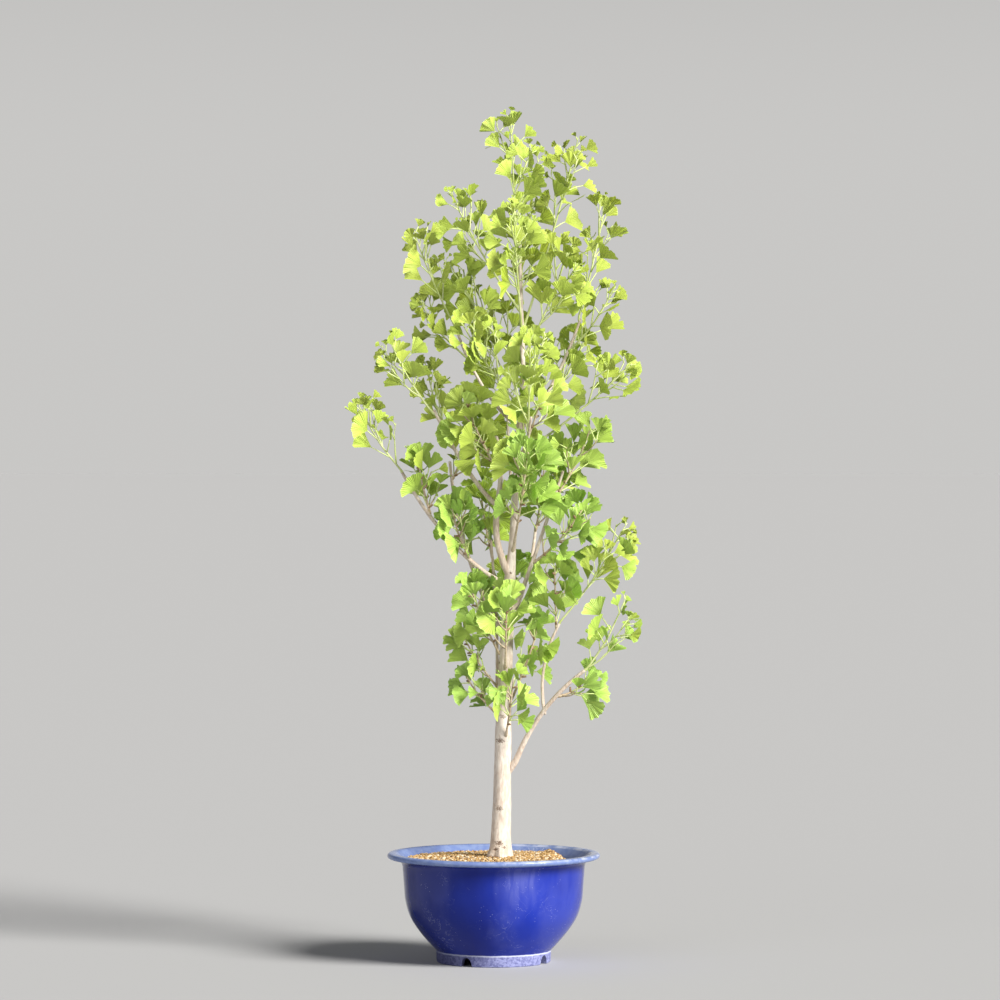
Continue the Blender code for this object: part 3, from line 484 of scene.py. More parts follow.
def limb_from(place: Place, aim: Vector, radius: float) -> tuple[Vector, Vector, Vector]:
    """Finds where a side limb starts: it leaves its parent in a narrow fork.

    Args:
        place: The place on its parent.
        aim: Where it heads.
        radius: Its own radius.

    Returns:
        Its first middle, the way it sets out, and where its curve begins.
    """
    if place.is_tip:
        start = place.point + place.direction * RULE.gap
        return start, place.direction, start + place.direction * radius * RULE.tip_collar_length
    heading = (aim - place.point).normalized()
    outward = across(place.direction, heading)
    spread = max(RULE.least_spread, heading.dot(outward))
    rise = sqrt(max(0, 1 - spread * spread)) * (1 if heading.dot(place.direction) > 0 else -1)
    lead = outward * spread + place.direction * rise
    start = place.point + outward * (place.radius + RULE.gap)
    return start, lead, start + lead * radius * (abs(rise) / spread + RULE.collar_length)


def bough_limb(bough: Bough, limbs: dict[str, Limb]) -> Limb:
    """Lays out a bough.

    Args:
        bough: Its sizes.
        limbs: The limbs before it, by name.

    Returns:
        The bough.
    """
    tip = Vector(bough.tip)
    place = limbs[bough.limb].at_height(bough.leaves_at)
    start, lead, elbow = limb_from(place, tip, bough.foot_radius)
    points = [start] + bowed(elbow, tip, Vector(bough.bow), RULE.bough_step)
    return Limb(bough.name, points, tapered(bough.foot_radius, bough.tip_radius, len(points)), lead)


def in_space(mass: Mass, points: np.ndarray) -> bool:
    """Tests whether points lie in a mass's space, which is a standing egg.

    Args:
        mass: The mass.
        points: The points.

    Returns:
        Whether all of them do.
    """
    away = (np.asarray(points) - mass.middle) / (1, 1, RULE.space_stretch)
    return bool((away**2).sum(1).max() < mass.reach**2)


class Woods:
    """The straight stretches of limbs, stems and twigs, to keep leaves and twigs off them."""

    def __init__(self, limbs: Iterable[Limb]) -> None:
        """Gathers the stretches.

        Args:
            limbs: The limbs.
        """
        rows = []
        for limb in limbs:
            for k, (a, b) in enumerate(zip(limb.points, limb.points[1:])):
                rows.append((a, b, max(limb.radii[k], limb.radii[k + 1]), limb.name))
        self.starts = np.array([row[0] for row in rows])
        self.spans = np.array([row[1] for row in rows]) - self.starts
        self.radii = np.array([row[2] for row in rows])
        self.owners = np.array([row[3] for row in rows])

    def near(self, middle: Vector, reach: float) -> "Woods":
        """Picks the stretches near a mass.

        Args:
            middle: The mass's middle.
            reach: How far from it a stretch may lie.

        Returns:
            Those stretches alone.
        """
        picked = Woods([])
        away = np.array(middle) - self.starts
        share = np.clip((away * self.spans).sum(1) / (self.spans**2).sum(1), 0, 1)
        close = np.linalg.norm(away - share[:, None] * self.spans, axis=1) < reach
        picked.starts, picked.spans = self.starts[close], self.spans[close]
        picked.radii, picked.owners = self.radii[close], self.owners[close]
        return picked

    def clear(self, points: np.ndarray, owner: str | None) -> bool:
        """Tests whether points keep clear of every limb but one.

        Args:
            points: The points.
            owner: The name of the limb that they may touch.

        Returns:
            Whether they all do.
        """
        others = self.owners != owner
        if not others.any():
            return True
        spans = self.spans[others]
        away = np.asarray(points)[:, None] - self.starts[None, others]
        share = np.clip((away * spans[None]).sum(2) / (spans**2).sum(1), 0, 1)
        gap = np.linalg.norm(away - share[..., None] * spans[None], axis=2)
        return bool((gap - self.radii[None, others]).min() > RULE.limb_clearance)


@dataclass(frozen=True)
class Leaf:
    """One leaf: a stalk from root to neck, and a fan from the neck."""

    root: Vector
    neck: Vector
    axis: Vector
    side: Vector
    normal: Vector
    length: float
    half_angle: float
    cup: float
    spray: str

    def samples(self) -> np.ndarray:
        """Spreads points over the stalk and the fan, to test clearances with.

        Returns:
            The points.
        """
        root, neck = np.array(self.root), np.array(self.neck)
        tip = neck + np.array(self.axis * self.length + self.normal * self.cup)
        reach = np.array(self.axis) * self.length * cos(self.half_angle)
        spread = np.array(self.side) * self.length * sin(self.half_angle)
        rim = [neck + reach - spread, neck + reach + spread]
        shares = np.linspace(0, 1, 4)[:, None]
        rim = np.vstack((rim[0] + (tip - rim[0]) * shares, tip + (rim[1] - tip) * shares[1:]))
        stalk = root + (neck - root) * np.linspace(0.12, 1, 8)[:, None]
        depths = np.linspace(0.2, 1, 6)[:, None, None]
        blade = (neck + (rim[None] - neck) * depths).reshape(-1, 3)
        return np.vstack((stalk, blade))


class LeafDraws(NamedTuple):
    """The chances that shape one leaf."""

    stalk: float
    blade: float
    droop: float
    turn: float
    tilt: float
    half_angle: float
    cup: float


def draw_leaf(rng: Random) -> LeafDraws:
    """Draws the chances for one leaf."""
    return LeafDraws(
        rng.random(),
        rng.random(),
        rng.uniform(*RULE.leaf_droop),
        radians(rng.uniform(*RULE.leaf_turn)),
        rng.uniform(*RULE.leaf_tilt),
        radians(rng.uniform(*RULE.blade_half_angle)),
        rng.uniform(*RULE.leaf_cup),
    )


def place_leaf(root: Vector, stalk: Vector, sizes: Span, draws: LeafDraws, spray: str) -> Leaf:
    """Sets a leaf on a stalk, with its face turned to the front, or to the back behind the crown's middle.

    Args:
        root: Where the stalk leaves its twig.
        stalk: The stalk's direction.
        sizes: The size of the blade and of the stalk.
        draws: The chances that shape it.
        spray: The name of the spray that it belongs to.

    Returns:
        The leaf.
    """
    blade_size, stalk_size = sizes
    neck = root + stalk * stalk_size * blend(*RULE.stalk_length, draws.stalk)
    length = blade_size * blend(*RULE.blade_length, draws.blade)
    axis = (stalk - UP * draws.droop).normalized()
    front = -1 if root.y < RULE.faces_back_from else 1
    normal = across(axis, Vector((sin(draws.turn), front * cos(draws.turn), draws.tilt)))
    side, cup = axis.cross(normal), draws.cup * length
    return Leaf(root, neck, axis, side, normal, length, draws.half_angle, cup, spray)


class Bud(NamedTuple):
    """A place that bears leaves: its point, direction, leaf size, spray, twig and share of the twig."""

    point: Vector
    direction: Vector
    size: float
    spray: str
    twig: int
    share: float


class Crowd:
    """The leaves grown so far, to keep new ones off them."""

    def __init__(self) -> None:
        """Starts with none."""
        self.middles = np.empty((0, 3))
        self.reaches = np.empty(0)
        self.clouds: list[np.ndarray] = []

    def is_clear(self, points: np.ndarray) -> bool:
        """Tests whether a leaf's points keep clear of every leaf so far."""
        middle = points.mean(0)
        reach = np.linalg.norm(points - middle, axis=1).max()
        near = np.linalg.norm(self.middles - middle, axis=1) < self.reaches + reach + RULE.leaf_clearance
        for k in np.flatnonzero(near):
            apart = ((points[:, None] - self.clouds[k][None]) ** 2).sum(2)
            if apart.min() < RULE.leaf_clearance**2:
                return False
        return True

    def add(self, points: np.ndarray) -> None:
        """Takes the place of a new leaf."""
        middle = points.mean(0)
        self.middles = np.vstack((self.middles, middle))
        self.reaches = np.append(self.reaches, np.linalg.norm(points - middle, axis=1).max())
        self.clouds.append(points)


class Spray:
    """One mass of foliage: a stem from its limb, twigs that branch off it, and leaves along both."""

    def __init__(self, mass: Mass, limbs: dict[str, Limb]) -> None:
        """Lays out the stem.

        Args:
            mass: The mass's sizes.
            limbs: The trunk and the boughs, by name.
        """
        self.mass = mass
        self.growth = mass.habit.value
        self.is_green = mass.habit is Habit.GREEN
        self.middle = Vector(mass.middle)
        foot = self.middle - UP * mass.drop
        limb = limbs[mass.limb]
        place = limb.at_height(foot.z) if mass.limb == "trunk" else limb.nearest(foot)
        radius = min(RULE.stem_radius, place.radius * RULE.stem_share_of_limb)
        start, lead, elbow = limb_from(place, self.middle, radius)
        towards = (self.middle - start).normalized()
        onward, upward = RULE.stem_heading
        self.grows = (towards * onward + UP * upward).normalized()
        tall = mass.reach * (1 + (RULE.space_stretch - 1) * abs(self.grows.z))
        tip = self.middle + self.grows * tall * RULE.stem_reach
        bow = (self.middle - (elbow + tip) / 2) * RULE.stem_bow
        bow -= towards * bow.dot(towards)
        points = [start] + bowed(elbow, tip, bow, RULE.stem_ring_step)
        self.stem = Limb(mass.node, points, tapered(radius, RULE.stem_tip_radius, len(points)), lead)
        self.twigs: list[Limb] = []
        self.leaves: list[Leaf] = []
        self.tips: list[Limb] = []
        self.last_share: dict[int, float] = {}
        self.rng = Random(mass.seed)
        self.near_woods = Woods([])
        self.own_wood = Woods([])
        self.crowd = Crowd()
        self.most = 0

    def grow(self, woods: Woods, crowd: Crowd, most: int) -> None:
        """Grows the twigs and their leaves, then finer twigs and theirs, up to a number of leaves.

        Args:
            woods: Every limb and stem.
            crowd: The leaves grown so far.
            most: The most leaves that it grows.
        """
        self.near_woods = woods.near(self.middle, self.mass.reach * RULE.space_stretch + RULE.woods_margin)
        self.crowd = crowd
        self.most = most
        self.rng = Random(self.mass.seed)
        stem_nodes = self.stem_nodes()
        for k in range(RULE.twig_count):
            self.add_twig(stem_nodes, k)
        nodes = list(stem_nodes)
        for number in range(len(self.twigs)):
            nodes += self.twig_nodes(number, f"{self.mass.node}.{number}")
        self.dress(nodes)
        self.rng = Random(self.mass.seed + RULE.fine_seed)
        nodes = []
        for number in range(len(self.twigs)):
            nodes += self.add_fine_twigs(stem_nodes, number)
        self.dress(nodes)
        if self.is_green:
            self.rng = Random(self.mass.seed + RULE.tip_seed)
            self.add_tips()

    def stem_nodes(self) -> list[Bud]:
        """Finds the places that bear leaves along the stem.

        Returns:
            The nodes inside the mass's own space.
        """
        spots = []
        points = self.stem.points
        left_over = 0.0
        for a, b in zip(points[1:], points[2:]):
            span = (b - a).length
            at = left_over
            while at < span:
                point = a.lerp(b, at / span)
                if in_space(self.mass, [point]):
                    spots.append((point, (b - a).normalized()))
                at += self.growth.node_step
            left_over = at - span
        end = (points[-1] - points[-2]).normalized()
        spots.append((points[-1] - end * RULE.node_inset, self.grows))
        last = max(1, len(spots) - 1)
        return [
            Bud(point, direction, self.leaf_size(k / last), self.mass.node, -1, 1.0)
            for k, (point, direction) in enumerate(spots)
        ]

    def leaf_size(self, share: float) -> float:
        """The size of the leaves at a share of a stem or twig: they shrink to the tip."""
        return 1 - self.growth.shrink * share**self.growth.shrink_power

    def twig_nodes(self, number: int, spray: str) -> list[Bud]:
        """Finds the places that bear leaves along a twig.

        Args:
            number: The twig's number.
            spray: The name of its spray.

        Returns:
            The nodes.
        """
        root, elbow, tip = self.twigs[number].points
        shares = [0.5, 1.0]
        if self.is_green:
            leafy = 1 - RULE.bare_foot
            count = max(2, round((tip - root).length * leafy / self.growth.node_step))
            shares = [RULE.bare_foot + leafy * (k + 1) / count for k in range(count)]
        nodes = []
        for share in shares:
            first = share <= 0.5
            a, b = (root, elbow) if first else (elbow, tip)
            direction = (b - a).normalized()
            point = a.lerp(b, min(1, share * 2 - (0 if first else 1))) - direction * RULE.node_inset
            nodes.append(Bud(point, direction, self.leaf_size(share), spray, number, share))
        return nodes

    def add_twig(self, nodes: list[Bud], k: int) -> None:
        """Adds a side twig, steep on a green shoot and at half a right angle on old wood.

        Args:
            nodes: The stem's nodes.
            k: The twig's number.
        """
        up_stem = (k + RULE.twigs_from) / (RULE.twig_count + RULE.twigs_short_of_tip)
        node = nodes[min(len(nodes) - 1, int(len(nodes) * up_stem))]
        turn = GOLDEN_ANGLE * k + self.rng.uniform(0, 2 * pi)
        share = self.rng.uniform(0.0, 1.0)
        growth = self.growth
        side = side_of(node.direction, turn)
        heading = (node.direction * growth.onward + side * growth.sideways + UP * growth.upward).normalized()
        length = self.mass.reach * (growth.shortest + growth.longer * share)
        self.try_twig(node.point, heading, length, 1.0)

    def try_twig(self, root: Vector, heading: Vector, length: float, thickness: float) -> bool:
        """Adds a twig, made shorter until it fits.

        Args:
            root: Where it leaves its stem.
            heading: Where it heads at first.
            length: Its full length.
            thickness: Its thickness, as a share of a first twig's.

        Returns:
            Whether it fitted.
        """
        for _ in range(RULE.twig_tries):
            elbow = root + heading * length * 0.5
            tip = elbow + (heading + UP * RULE.elbow_rise).normalized() * length * 0.5
            path = [root.lerp(elbow, share / 6) for share in range(1, 7)]
            path += [elbow.lerp(tip, share / 6) for share in range(1, 7)]
            if in_space(self.mass, [elbow, tip]) and self.near_woods.clear(path, self.mass.node):
                radii = [radius * thickness for radius in RULE.twig_radii]
                self.twigs.append(Limb("twig", [root, elbow, tip], radii, heading))
                return True
            length *= RULE.twig_shortening
        return False

    def add_fine_twigs(self, stem_nodes: list[Bud], number: int) -> list[Bud]:
        """Carries the mass on to finer twigs: off each twig on old wood, and beside it on a green shoot.

        Args:
            stem_nodes: The stem's nodes.
            number: The number of the twig that they go with.

        Returns:
            The finer twigs' nodes.
        """
        root, elbow, tip = self.twigs[number].points
        nodes = []
        for k in range(RULE.fine_twigs):
            if self.is_green:
                node = stem_nodes[self.rng.randrange(max(1, len(stem_nodes) * 2 // 3))]
                start, direction, full = node.point, node.direction, self.mass.reach
            else:
                direction = (elbow - root).normalized()
                start, full = root.lerp(elbow, RULE.fine_from + RULE.fine_apart * k), (tip - root).length
            length = full * self.rng.uniform(*self.growth.fine_lengths)
            side = side_of(direction, self.rng.uniform(0, 2 * pi)) * self.growth.fine_sideways
            heading = (direction * RULE.fine_onward + side + UP * RULE.fine_upward).normalized()
            if self.try_twig(start, heading, length, RULE.fine_radius):
                nodes += self.twig_nodes(len(self.twigs) - 1, f"{self.mass.node}.{number}.{k}")
        return nodes

    def dress(self, nodes: list[Bud]) -> None:
        """Adds leaves to nodes rank by rank, and within a rank to every third node first, from the tip.

        Args:
            nodes: The nodes.
        """
        self.own_wood = Woods([self.stem, *self.twigs])
        last = len(nodes) - 1
        order = sorted(range(len(nodes)), key=lambda k: ((last - k) % 3, k))
        for rank in range(self.growth.whorl):
            for k in order:
                self.add_leaf(nodes[k], rank, k)

    def add_leaf(self, node: Bud, rank: int, k: int) -> None:
        """Adds one leaf, made smaller until it fits, or leaves it out.

        Args:
            node: The place that bears it.
            rank: Its number in its whorl.
            k: The node's number.
        """
        turn = GOLDEN_ANGLE * (rank * 3 + k) + self.rng.uniform(*RULE.leaf_scatter)
        spread = radians(self.rng.uniform(*RULE.leaf_spread))
        draws = draw_leaf(self.rng)
        if len(self.leaves) >= self.most:
            return
        root = node.point - node.direction * RULE.node_length * rank / RULE.ranks_in_node
        side = side_of(node.direction, turn)
        stalk = node.direction * cos(spread) + side * sin(spread) + UP * RULE.leaf_rise
        stalk.normalize()
        for blade_size in RULE.blade_sizes:
            for stalk_size in RULE.stalk_sizes:
                sizes = (node.size * blade_size, stalk_size * blend(RULE.least_stalk, 1, node.size))
                leaf = place_leaf(root, stalk, sizes, draws, node.spray)
                if self.accepts(leaf):
                    self.leaves.append(leaf)
                    self.last_share[node.twig] = max(self.last_share.get(node.twig, 0), node.share)
                    return

    def accepts(self, leaf: Leaf) -> bool:
        """Tests whether a leaf keeps to the mass's space and clears limbs, twigs and other leaves.

        Args:
            leaf: The leaf.

        Returns:
            Whether it does, in which case its place is taken.
        """
        points = leaf.samples()
        if not in_space(self.mass, points) or not self.near_woods.clear(points, self.mass.node):
            return False
        free = points[np.linalg.norm(points - np.array(leaf.root), axis=1) > RULE.root_zone]
        if not (self.crowd.is_clear(free) and self.own_wood.clear(free, None)):
            return False
        self.crowd.add(free)
        return True

    def add_tips(self) -> None:
        """Draws the stem and its first twigs out to thin tips, with small leaves that have just unfolded."""
        shares = [k / RULE.tip_rings for k in range(RULE.tip_rings + 1)]
        for shoot in [self.stem, *self.shown_twigs()][: 1 + RULE.twig_count]:
            start, radius = shoot.points[-1], shoot.radii[-1]
            heading = (start - shoot.points[-2]).normalized()
            aside = Vector((self.rng.uniform(-1, 1), self.rng.uniform(-1, 1), 0.8))
            bend = across(heading, aside) * RULE.tip_bend
            length = RULE.tip_length * self.rng.uniform(*RULE.tip_shares)
            while length > RULE.tip_least:
                path = [start + (heading * t + bend * t * t) * length for t in shares]
                if in_space(self.mass, path[1:]):
                    break
                length *= RULE.tip_shortening
            else:
                continue
            radii = [blend(radius, RULE.tip_radius, t) for t in shares]
            tip = Limb("tip", path, radii, heading)
            last = 0.0
            for k, (place, size) in enumerate(zip(RULE.tip_places, RULE.tip_leaf_sizes)):
                if self.add_tip_leaf(tip, place, size, k):
                    last = place
            if last:
                keep = ceil(last * RULE.tip_rings) + 1
                self.tips.append(Limb("tip", path[:keep], radii[:keep], heading))

    def add_tip_leaf(self, tip: Limb, place: float, size: float, k: int) -> bool:
        """Adds one small leaf to a tip, by turns on either side, made smaller until it fits.

        Args:
            tip: The tip.
            place: Where it leaves the tip, as a share of its length.
            size: Its size.
            k: Its number.

        Returns:
            Whether it fitted.
        """
        a, b = tip.points[0], tip.points[-1]
        root = tip.nearest(a.lerp(b, place)).point
        direction = (b - a).normalized()
        turn = GOLDEN_ANGLE * k + self.rng.uniform(*RULE.tip_leaf_scatter)
        onward, sideways = RULE.tip_leaf_heading
        stalk = (direction * onward + side_of(direction, turn) * sideways).normalized()
        draws = draw_leaf(self.rng)
        for share in RULE.tip_leaf_tries:
            sizes = (size * share, size * share * RULE.tip_stalk_size)
            leaf = place_leaf(root, stalk, sizes, draws, self.mass.node)
            if in_space(self.mass, leaf.samples()):
                self.leaves.append(leaf)
                return True
        return False

    def shown_twigs(self) -> list[Limb]:
        """Cuts each twig off just past its last leaf, and leaves out those with none.

        Returns:
            The twigs to show.
        """
        shown = []
        for number, twig in enumerate(self.twigs):
            share = self.last_share.get(number)
            if share is None:
                continue
            points, radii = twig.fine(RULE.twig_step)
            keep = max(2, ceil(share * (len(points) - 1)) + 1)
            shown.append(Limb(twig.name, points[:keep], radii[:keep], twig.lead))
        return shown


class Plan:
    """The limbs and the sprays of the whole plant."""

    def __init__(self) -> None:
        """Lays out the limbs and the stems, with nothing grown yet."""
        self.limbs = {"trunk": trunk_limb()}
        for bough in BOUGHS:
            self.limbs[bough.name] = bough_limb(bough, self.limbs)
        self.sprays = [Spray(mass, self.limbs) for mass in MASSES]
        self.woods = Woods([*self.limbs.values(), *(spray.stem for spray in self.sprays)])

    def grow(self) -> None:
        """Grows every mass."""
        crowd = Crowd()
        near, far = RULE.outlying_from
        low, high = RULE.topmost_from
        for spray in self.sprays:
            away = hypot(spray.middle.x - CROWN_MIDDLE, min(0.0, spray.middle.y) * RULE.frontward_weight)
            outlying = (away - near) / (far - near)
            topmost = (spray.middle.z - low) / (high - low)
            share = within(max(outlying, topmost))
            for_one = float(np.interp(spray.middle.z, *zip(*RULE.leaves_for_one)))
            for_one = blend(for_one, RULE.outlying_for_one, share)
            spray.grow(self.woods, crowd, round(for_one * spray.mass.leaves))


# Meshes


class Draft:
    """The points and faces of one piece, gathered before its mesh is made."""

    FIRST_SIDE = (0.3, 1, 0.1)
    END_BULGE = 0.6

    def __init__(self) -> None:
        """Starts with nothing."""
        self.points: list[Vector] = []
        self.faces: list[tuple[int, ...]] = []
        self.places: list[Span] = []
        self.nodes: set[str] = set()

    def ring(self, points: Iterable[Vector]) -> range:
        """Adds points and returns their numbers."""
        start = len(self.points)
        self.points.extend(points)
        return range(start, len(self.points))

    def bridge(self, here: range, there: range) -> None:
        """Joins two rings of equal length with faces."""
        count = len(here)
        for k in range(count):
            self.faces.append((here[k], here[(k + 1) % count], there[(k + 1) % count], there[k]))

    def cap(self, ring: range, tip: Vector, at_start: bool = False) -> None:
        """Closes a ring with faces that meet in one point.

        Args:
            ring: The ring.
            tip: The point.
            at_start: Whether the ring is the first of its tube.
        """
        point = self.ring([tip])[0]
        count = len(ring)
        for k in range(count):
            a, b = ring[k], ring[(k + 1) % count]
            self.faces.append((b, a, point) if at_start else (a, b, point))

    def tube(
        self,
        points: list[Vector],
        radii: list[float],
        sides: int,
        facing: Vector | None = None,
        relief: Relief | None = None,
    ) -> None:
        """Adds a closed round tube.

        Args:
            points: The middles of its rings.
            radii: Their radii.
            sides: How many sides it has.
            facing: The way its first ring faces.
            relief: How far the surface stands out at a place, from the point and the way out.
        """
        rings = []
        last = len(points) - 1
        side = Vector(self.FIRST_SIDE)
        for k, (middle, radius) in enumerate(zip(points, radii)):
            direction = (points[min(last, k + 1)] - points[max(0, k - 1)]).normalized()
            if k == 0 and facing:
                direction = facing
            side = across(direction, side)
            other = direction.cross(side)
            ring = []
            for j in range(sides):
                angle = 2 * pi * j / sides
                out = side * cos(angle) + other * sin(angle)
                height = relief(middle + out * radius, out) if relief else 0
                ring.append(middle + out * (radius + height))
            rings.append(self.ring(ring))
        for here, there in zip(rings, rings[1:]):
            self.bridge(here, there)
        self.cap(rings[0], points[0], at_start=True)
        end = (points[-1] - points[-2]).normalized()
        self.cap(rings[-1], points[-1] + end * radii[-1] * self.END_BULGE)

    def piece(self, name: str, material: Material, slot: str) -> Object:
        """Makes the piece, smooth all over, and lets it ride on the plant.

        Args:
            name: The piece's name.
            material: Its finish.
            slot: Not used.

        Returns:
            The piece.
        """
        mesh = bpy.data.meshes.new(name)
        mesh.from_pydata([tuple(point + AXIS) for point in self.points], [], self.faces)
        mesh.materials.append(material)
        if self.places:
            layer = mesh.uv_layers.new(name="leaf_place")
            corners = np.array(self.places, np.float32)[[i for face in self.faces for i in face]]
            layer.data.foreach_set("uv", corners.ravel())
        mesh.shade_smooth()
        mesh.update()
        obj = bpy.data.objects.new(name, mesh)
        show(obj)
        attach(obj, ROOT_BODY)
        if self.nodes:
            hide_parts(*sorted(self.nodes))
        log.info("%s: %d faces", name, len(self.faces))
        return obj


# Shader groups


class Graph:
    """A node tree to which nodes are added and joined in few words."""

    def __init__(self, tree: NodeTree) -> None:
        """Takes the tree."""
        self.tree = tree

    def add(self, kind: str, inputs: dict | None = None, **settings: object) -> Node:
        """Adds a node.

        Args:
            kind: Its type.
            inputs: Values or sockets for its inputs, by name or number.
            settings: Its own settings.

        Returns:
            The node.
        """
        node = self.tree.nodes.new(kind)
        for key, value in settings.items():
            setattr(node, key, value)
        for key, value in (inputs or {}).items():
            if isinstance(value, Socket):
                self.tree.links.new(value, node.inputs[key])
            else:
                node.inputs[key].default_value = value
        return node

    def math(self, operation: str, *values: object, clamp: bool = False) -> Socket:
        """Adds a sum of one or two values and returns its result."""
        node = self.add("ShaderNodeMath", dict(enumerate(values)), operation=operation, use_clamp=clamp)
        return node.outputs[0]

    def times(self, first: object, second: object, clamp: bool = False) -> Socket:
        """Multiplies two values."""
        return self.math("MULTIPLY", first, second, clamp=clamp)

    def plus(self, first: object, second: object, clamp: bool = False) -> Socket:
        """Adds two values."""
        return self.math("ADD", first, second, clamp=clamp)

    def minus(self, first: object, second: object) -> Socket:
        """Takes the second value from the first."""
        return self.math("SUBTRACT", first, second)

    def vector(self, operation: str, *values: object) -> Socket:
        """Adds a sum of vectors and returns its result, which for a length or a distance is a value."""
        node = self.add("ShaderNodeVectorMath", dict(enumerate(values)), operation=operation)
        return node.outputs["Value" if operation in ("LENGTH", "DISTANCE") else "Vector"]

    def place(self) -> Socket:
        """Adds the place in the object's own space."""
        return self.add("ShaderNodeTexCoord").outputs["Object"]

    def part(self, vector: Socket, axis: str) -> Socket:
        """Adds one part of a vector."""
        return self.add("ShaderNodeSeparateXYZ", {0: vector}).outputs[axis]

    def join(self, source: Socket, node: Node, name: str) -> None:
        """Joins a socket to an input of a node."""
        self.tree.links.new(source, node.inputs[name])

    def span(self, value: object, low: float, high: float, start: float = 0.0, end: float = 1.0) -> Socket:
        """Maps a value from low to high onto start to end, smoothly and within them."""
        inputs = {"Value": value, "From Min": low, "From Max": high, "To Min": start, "To Max": end}
        return self.add("ShaderNodeMapRange", inputs, interpolation_type="SMOOTHSTEP").outputs["Result"]

    def mix(self, share: object, first: object, second: object, blend: str = "MIX") -> Socket:
        """Mixes two colours and returns the result."""
        node = self.add("ShaderNodeMix", data_type="RGBA", blend_type=blend)
        for key, value in (("Factor_Float", share), ("A_Color", first), ("B_Color", second)):
            socket = next(s for s in node.inputs if s.identifier == key)
            if isinstance(value, Socket):
                self.tree.links.new(value, socket)
            elif isinstance(value, tuple):
                socket.default_value = (*value, 1)
            else:
                socket.default_value = value
        return next(s for s in node.outputs if s.identifier == "Result_Color")

    def noise(self, place: Socket, scale: object, detail: float = 3.0, **more: float) -> Socket:
        """Adds a noise and returns its value."""
        inputs = {"Vector": place, "Scale": scale, "Detail": detail, **more}
        return self.add("ShaderNodeTexNoise", inputs).outputs[0]

    def use(self, group: NodeTree, **inputs: object) -> Node:
        """Places a group.

        Args:
            group: The group.
            inputs: Its values by input name, with _ for a space; a colour has three numbers.

        Returns:
            The group's node.
        """
        node = self.add("ShaderNodeGroup", node_tree=group)
        for key, value in inputs.items():
            name = key.replace("_", " ")
            if isinstance(value, Socket):
                self.join(value, node, name)
            else:
                node.inputs[name].default_value = (*value, 1) if isinstance(value, tuple) else value
        return node

    def bump(self, shader: Node, height: Socket, strength: float, depth: float) -> None:
        """Joins a height to a shader's normal.

        Args:
            shader: The shader.
            height: The height.
            strength: How strong the bump is.
            depth: How deep it is, in metres.
        """
        bump = self.add("ShaderNodeBump", {"Strength": strength, "Distance": depth, "Height": height})
        self.join(bump.outputs[0], shader, "Normal")


class Effect(Graph):
    """A shader node group in the making, with its inputs by name."""

    def __init__(self, name: str, **inputs: object) -> None:
        """Starts the group.

        Args:
            name: Its name.
            inputs: The default of each input by name, with _ for a space: a number, or a colour of three.
        """
        super().__init__(bpy.data.node_groups.new(name, "ShaderNodeTree"))
        for key, default in inputs.items():
            kind = "NodeSocketColor" if isinstance(default, tuple) else "NodeSocketFloat"
            label = key.replace("_", " ")
            socket = self.tree.interface.new_socket(label, in_out="INPUT", socket_type=kind)
            socket.default_value = (*default, 1) if isinstance(default, tuple) else default
        given = self.tree.nodes.new("NodeGroupInput")
        self.given = {socket.name: socket for socket in given.outputs if socket.name}

    def give(self, **outputs: Socket) -> NodeTree:
        """Puts out colours and values.

        Args:
            outputs: The socket to put out under each name.

        Returns:
            The group.
        """
        for label, source in outputs.items():
            kind = "NodeSocketColor" if source.type == "RGBA" else "NodeSocketFloat"
            self.tree.interface.new_socket(label, in_out="OUTPUT", socket_type=kind)
        result = self.tree.nodes.new("NodeGroupOutput")
        for label, source in outputs.items():
            self.join(source, result, label)
        return self.tree


def mottle_group() -> NodeTree:
    """Makes the group that blends two colours in soft patches.

    Returns:
        The group.
    """
    graph = Effect("soft_mottle", First=(0.5, 0.5, 0.5), Second=(0.6, 0.6, 0.6), Scale=40.0, Stretch=1.0)
    flat = graph.add("ShaderNodeCombineXYZ", {"X": 1.0, "Y": 1.0, "Z": graph.given["Stretch"]}).outputs[0]
    scaled = graph.vector("MULTIPLY", graph.place(), flat)
    mask = graph.span(graph.noise(scaled, graph.given["Scale"], 4.0), 0.35, 0.65)
    return graph.give(Color=graph.mix(mask, graph.given["First"], graph.given["Second"]), Mask=mask)


def height_band_group() -> NodeTree:
    """Makes the group that masks what lies above a height, or to the right of a place, with an uneven edge.

    Returns:
        The group.
    """
    graph = Effect("height_band", Height=0.1, Softness=0.001, Wobble=0.001, Scale=60.0, Across=0.0)
    place = graph.place()
    upward = graph.times(graph.part(place, "Z"), graph.minus(1.0, graph.given["Across"]))
    height = graph.plus(upward, graph.times(graph.part(place, "X"), graph.given["Across"]))
    uneven = graph.minus(graph.noise(place, graph.given["Scale"], 2.0), 0.5)
    uneven = graph.times(uneven, graph.given["Wobble"])
    over = graph.minus(graph.plus(height, uneven), graph.given["Height"])
    above = graph.plus(graph.math("DIVIDE", over, graph.given["Softness"]), 0.5, clamp=True)
    return graph.give(Above=above)


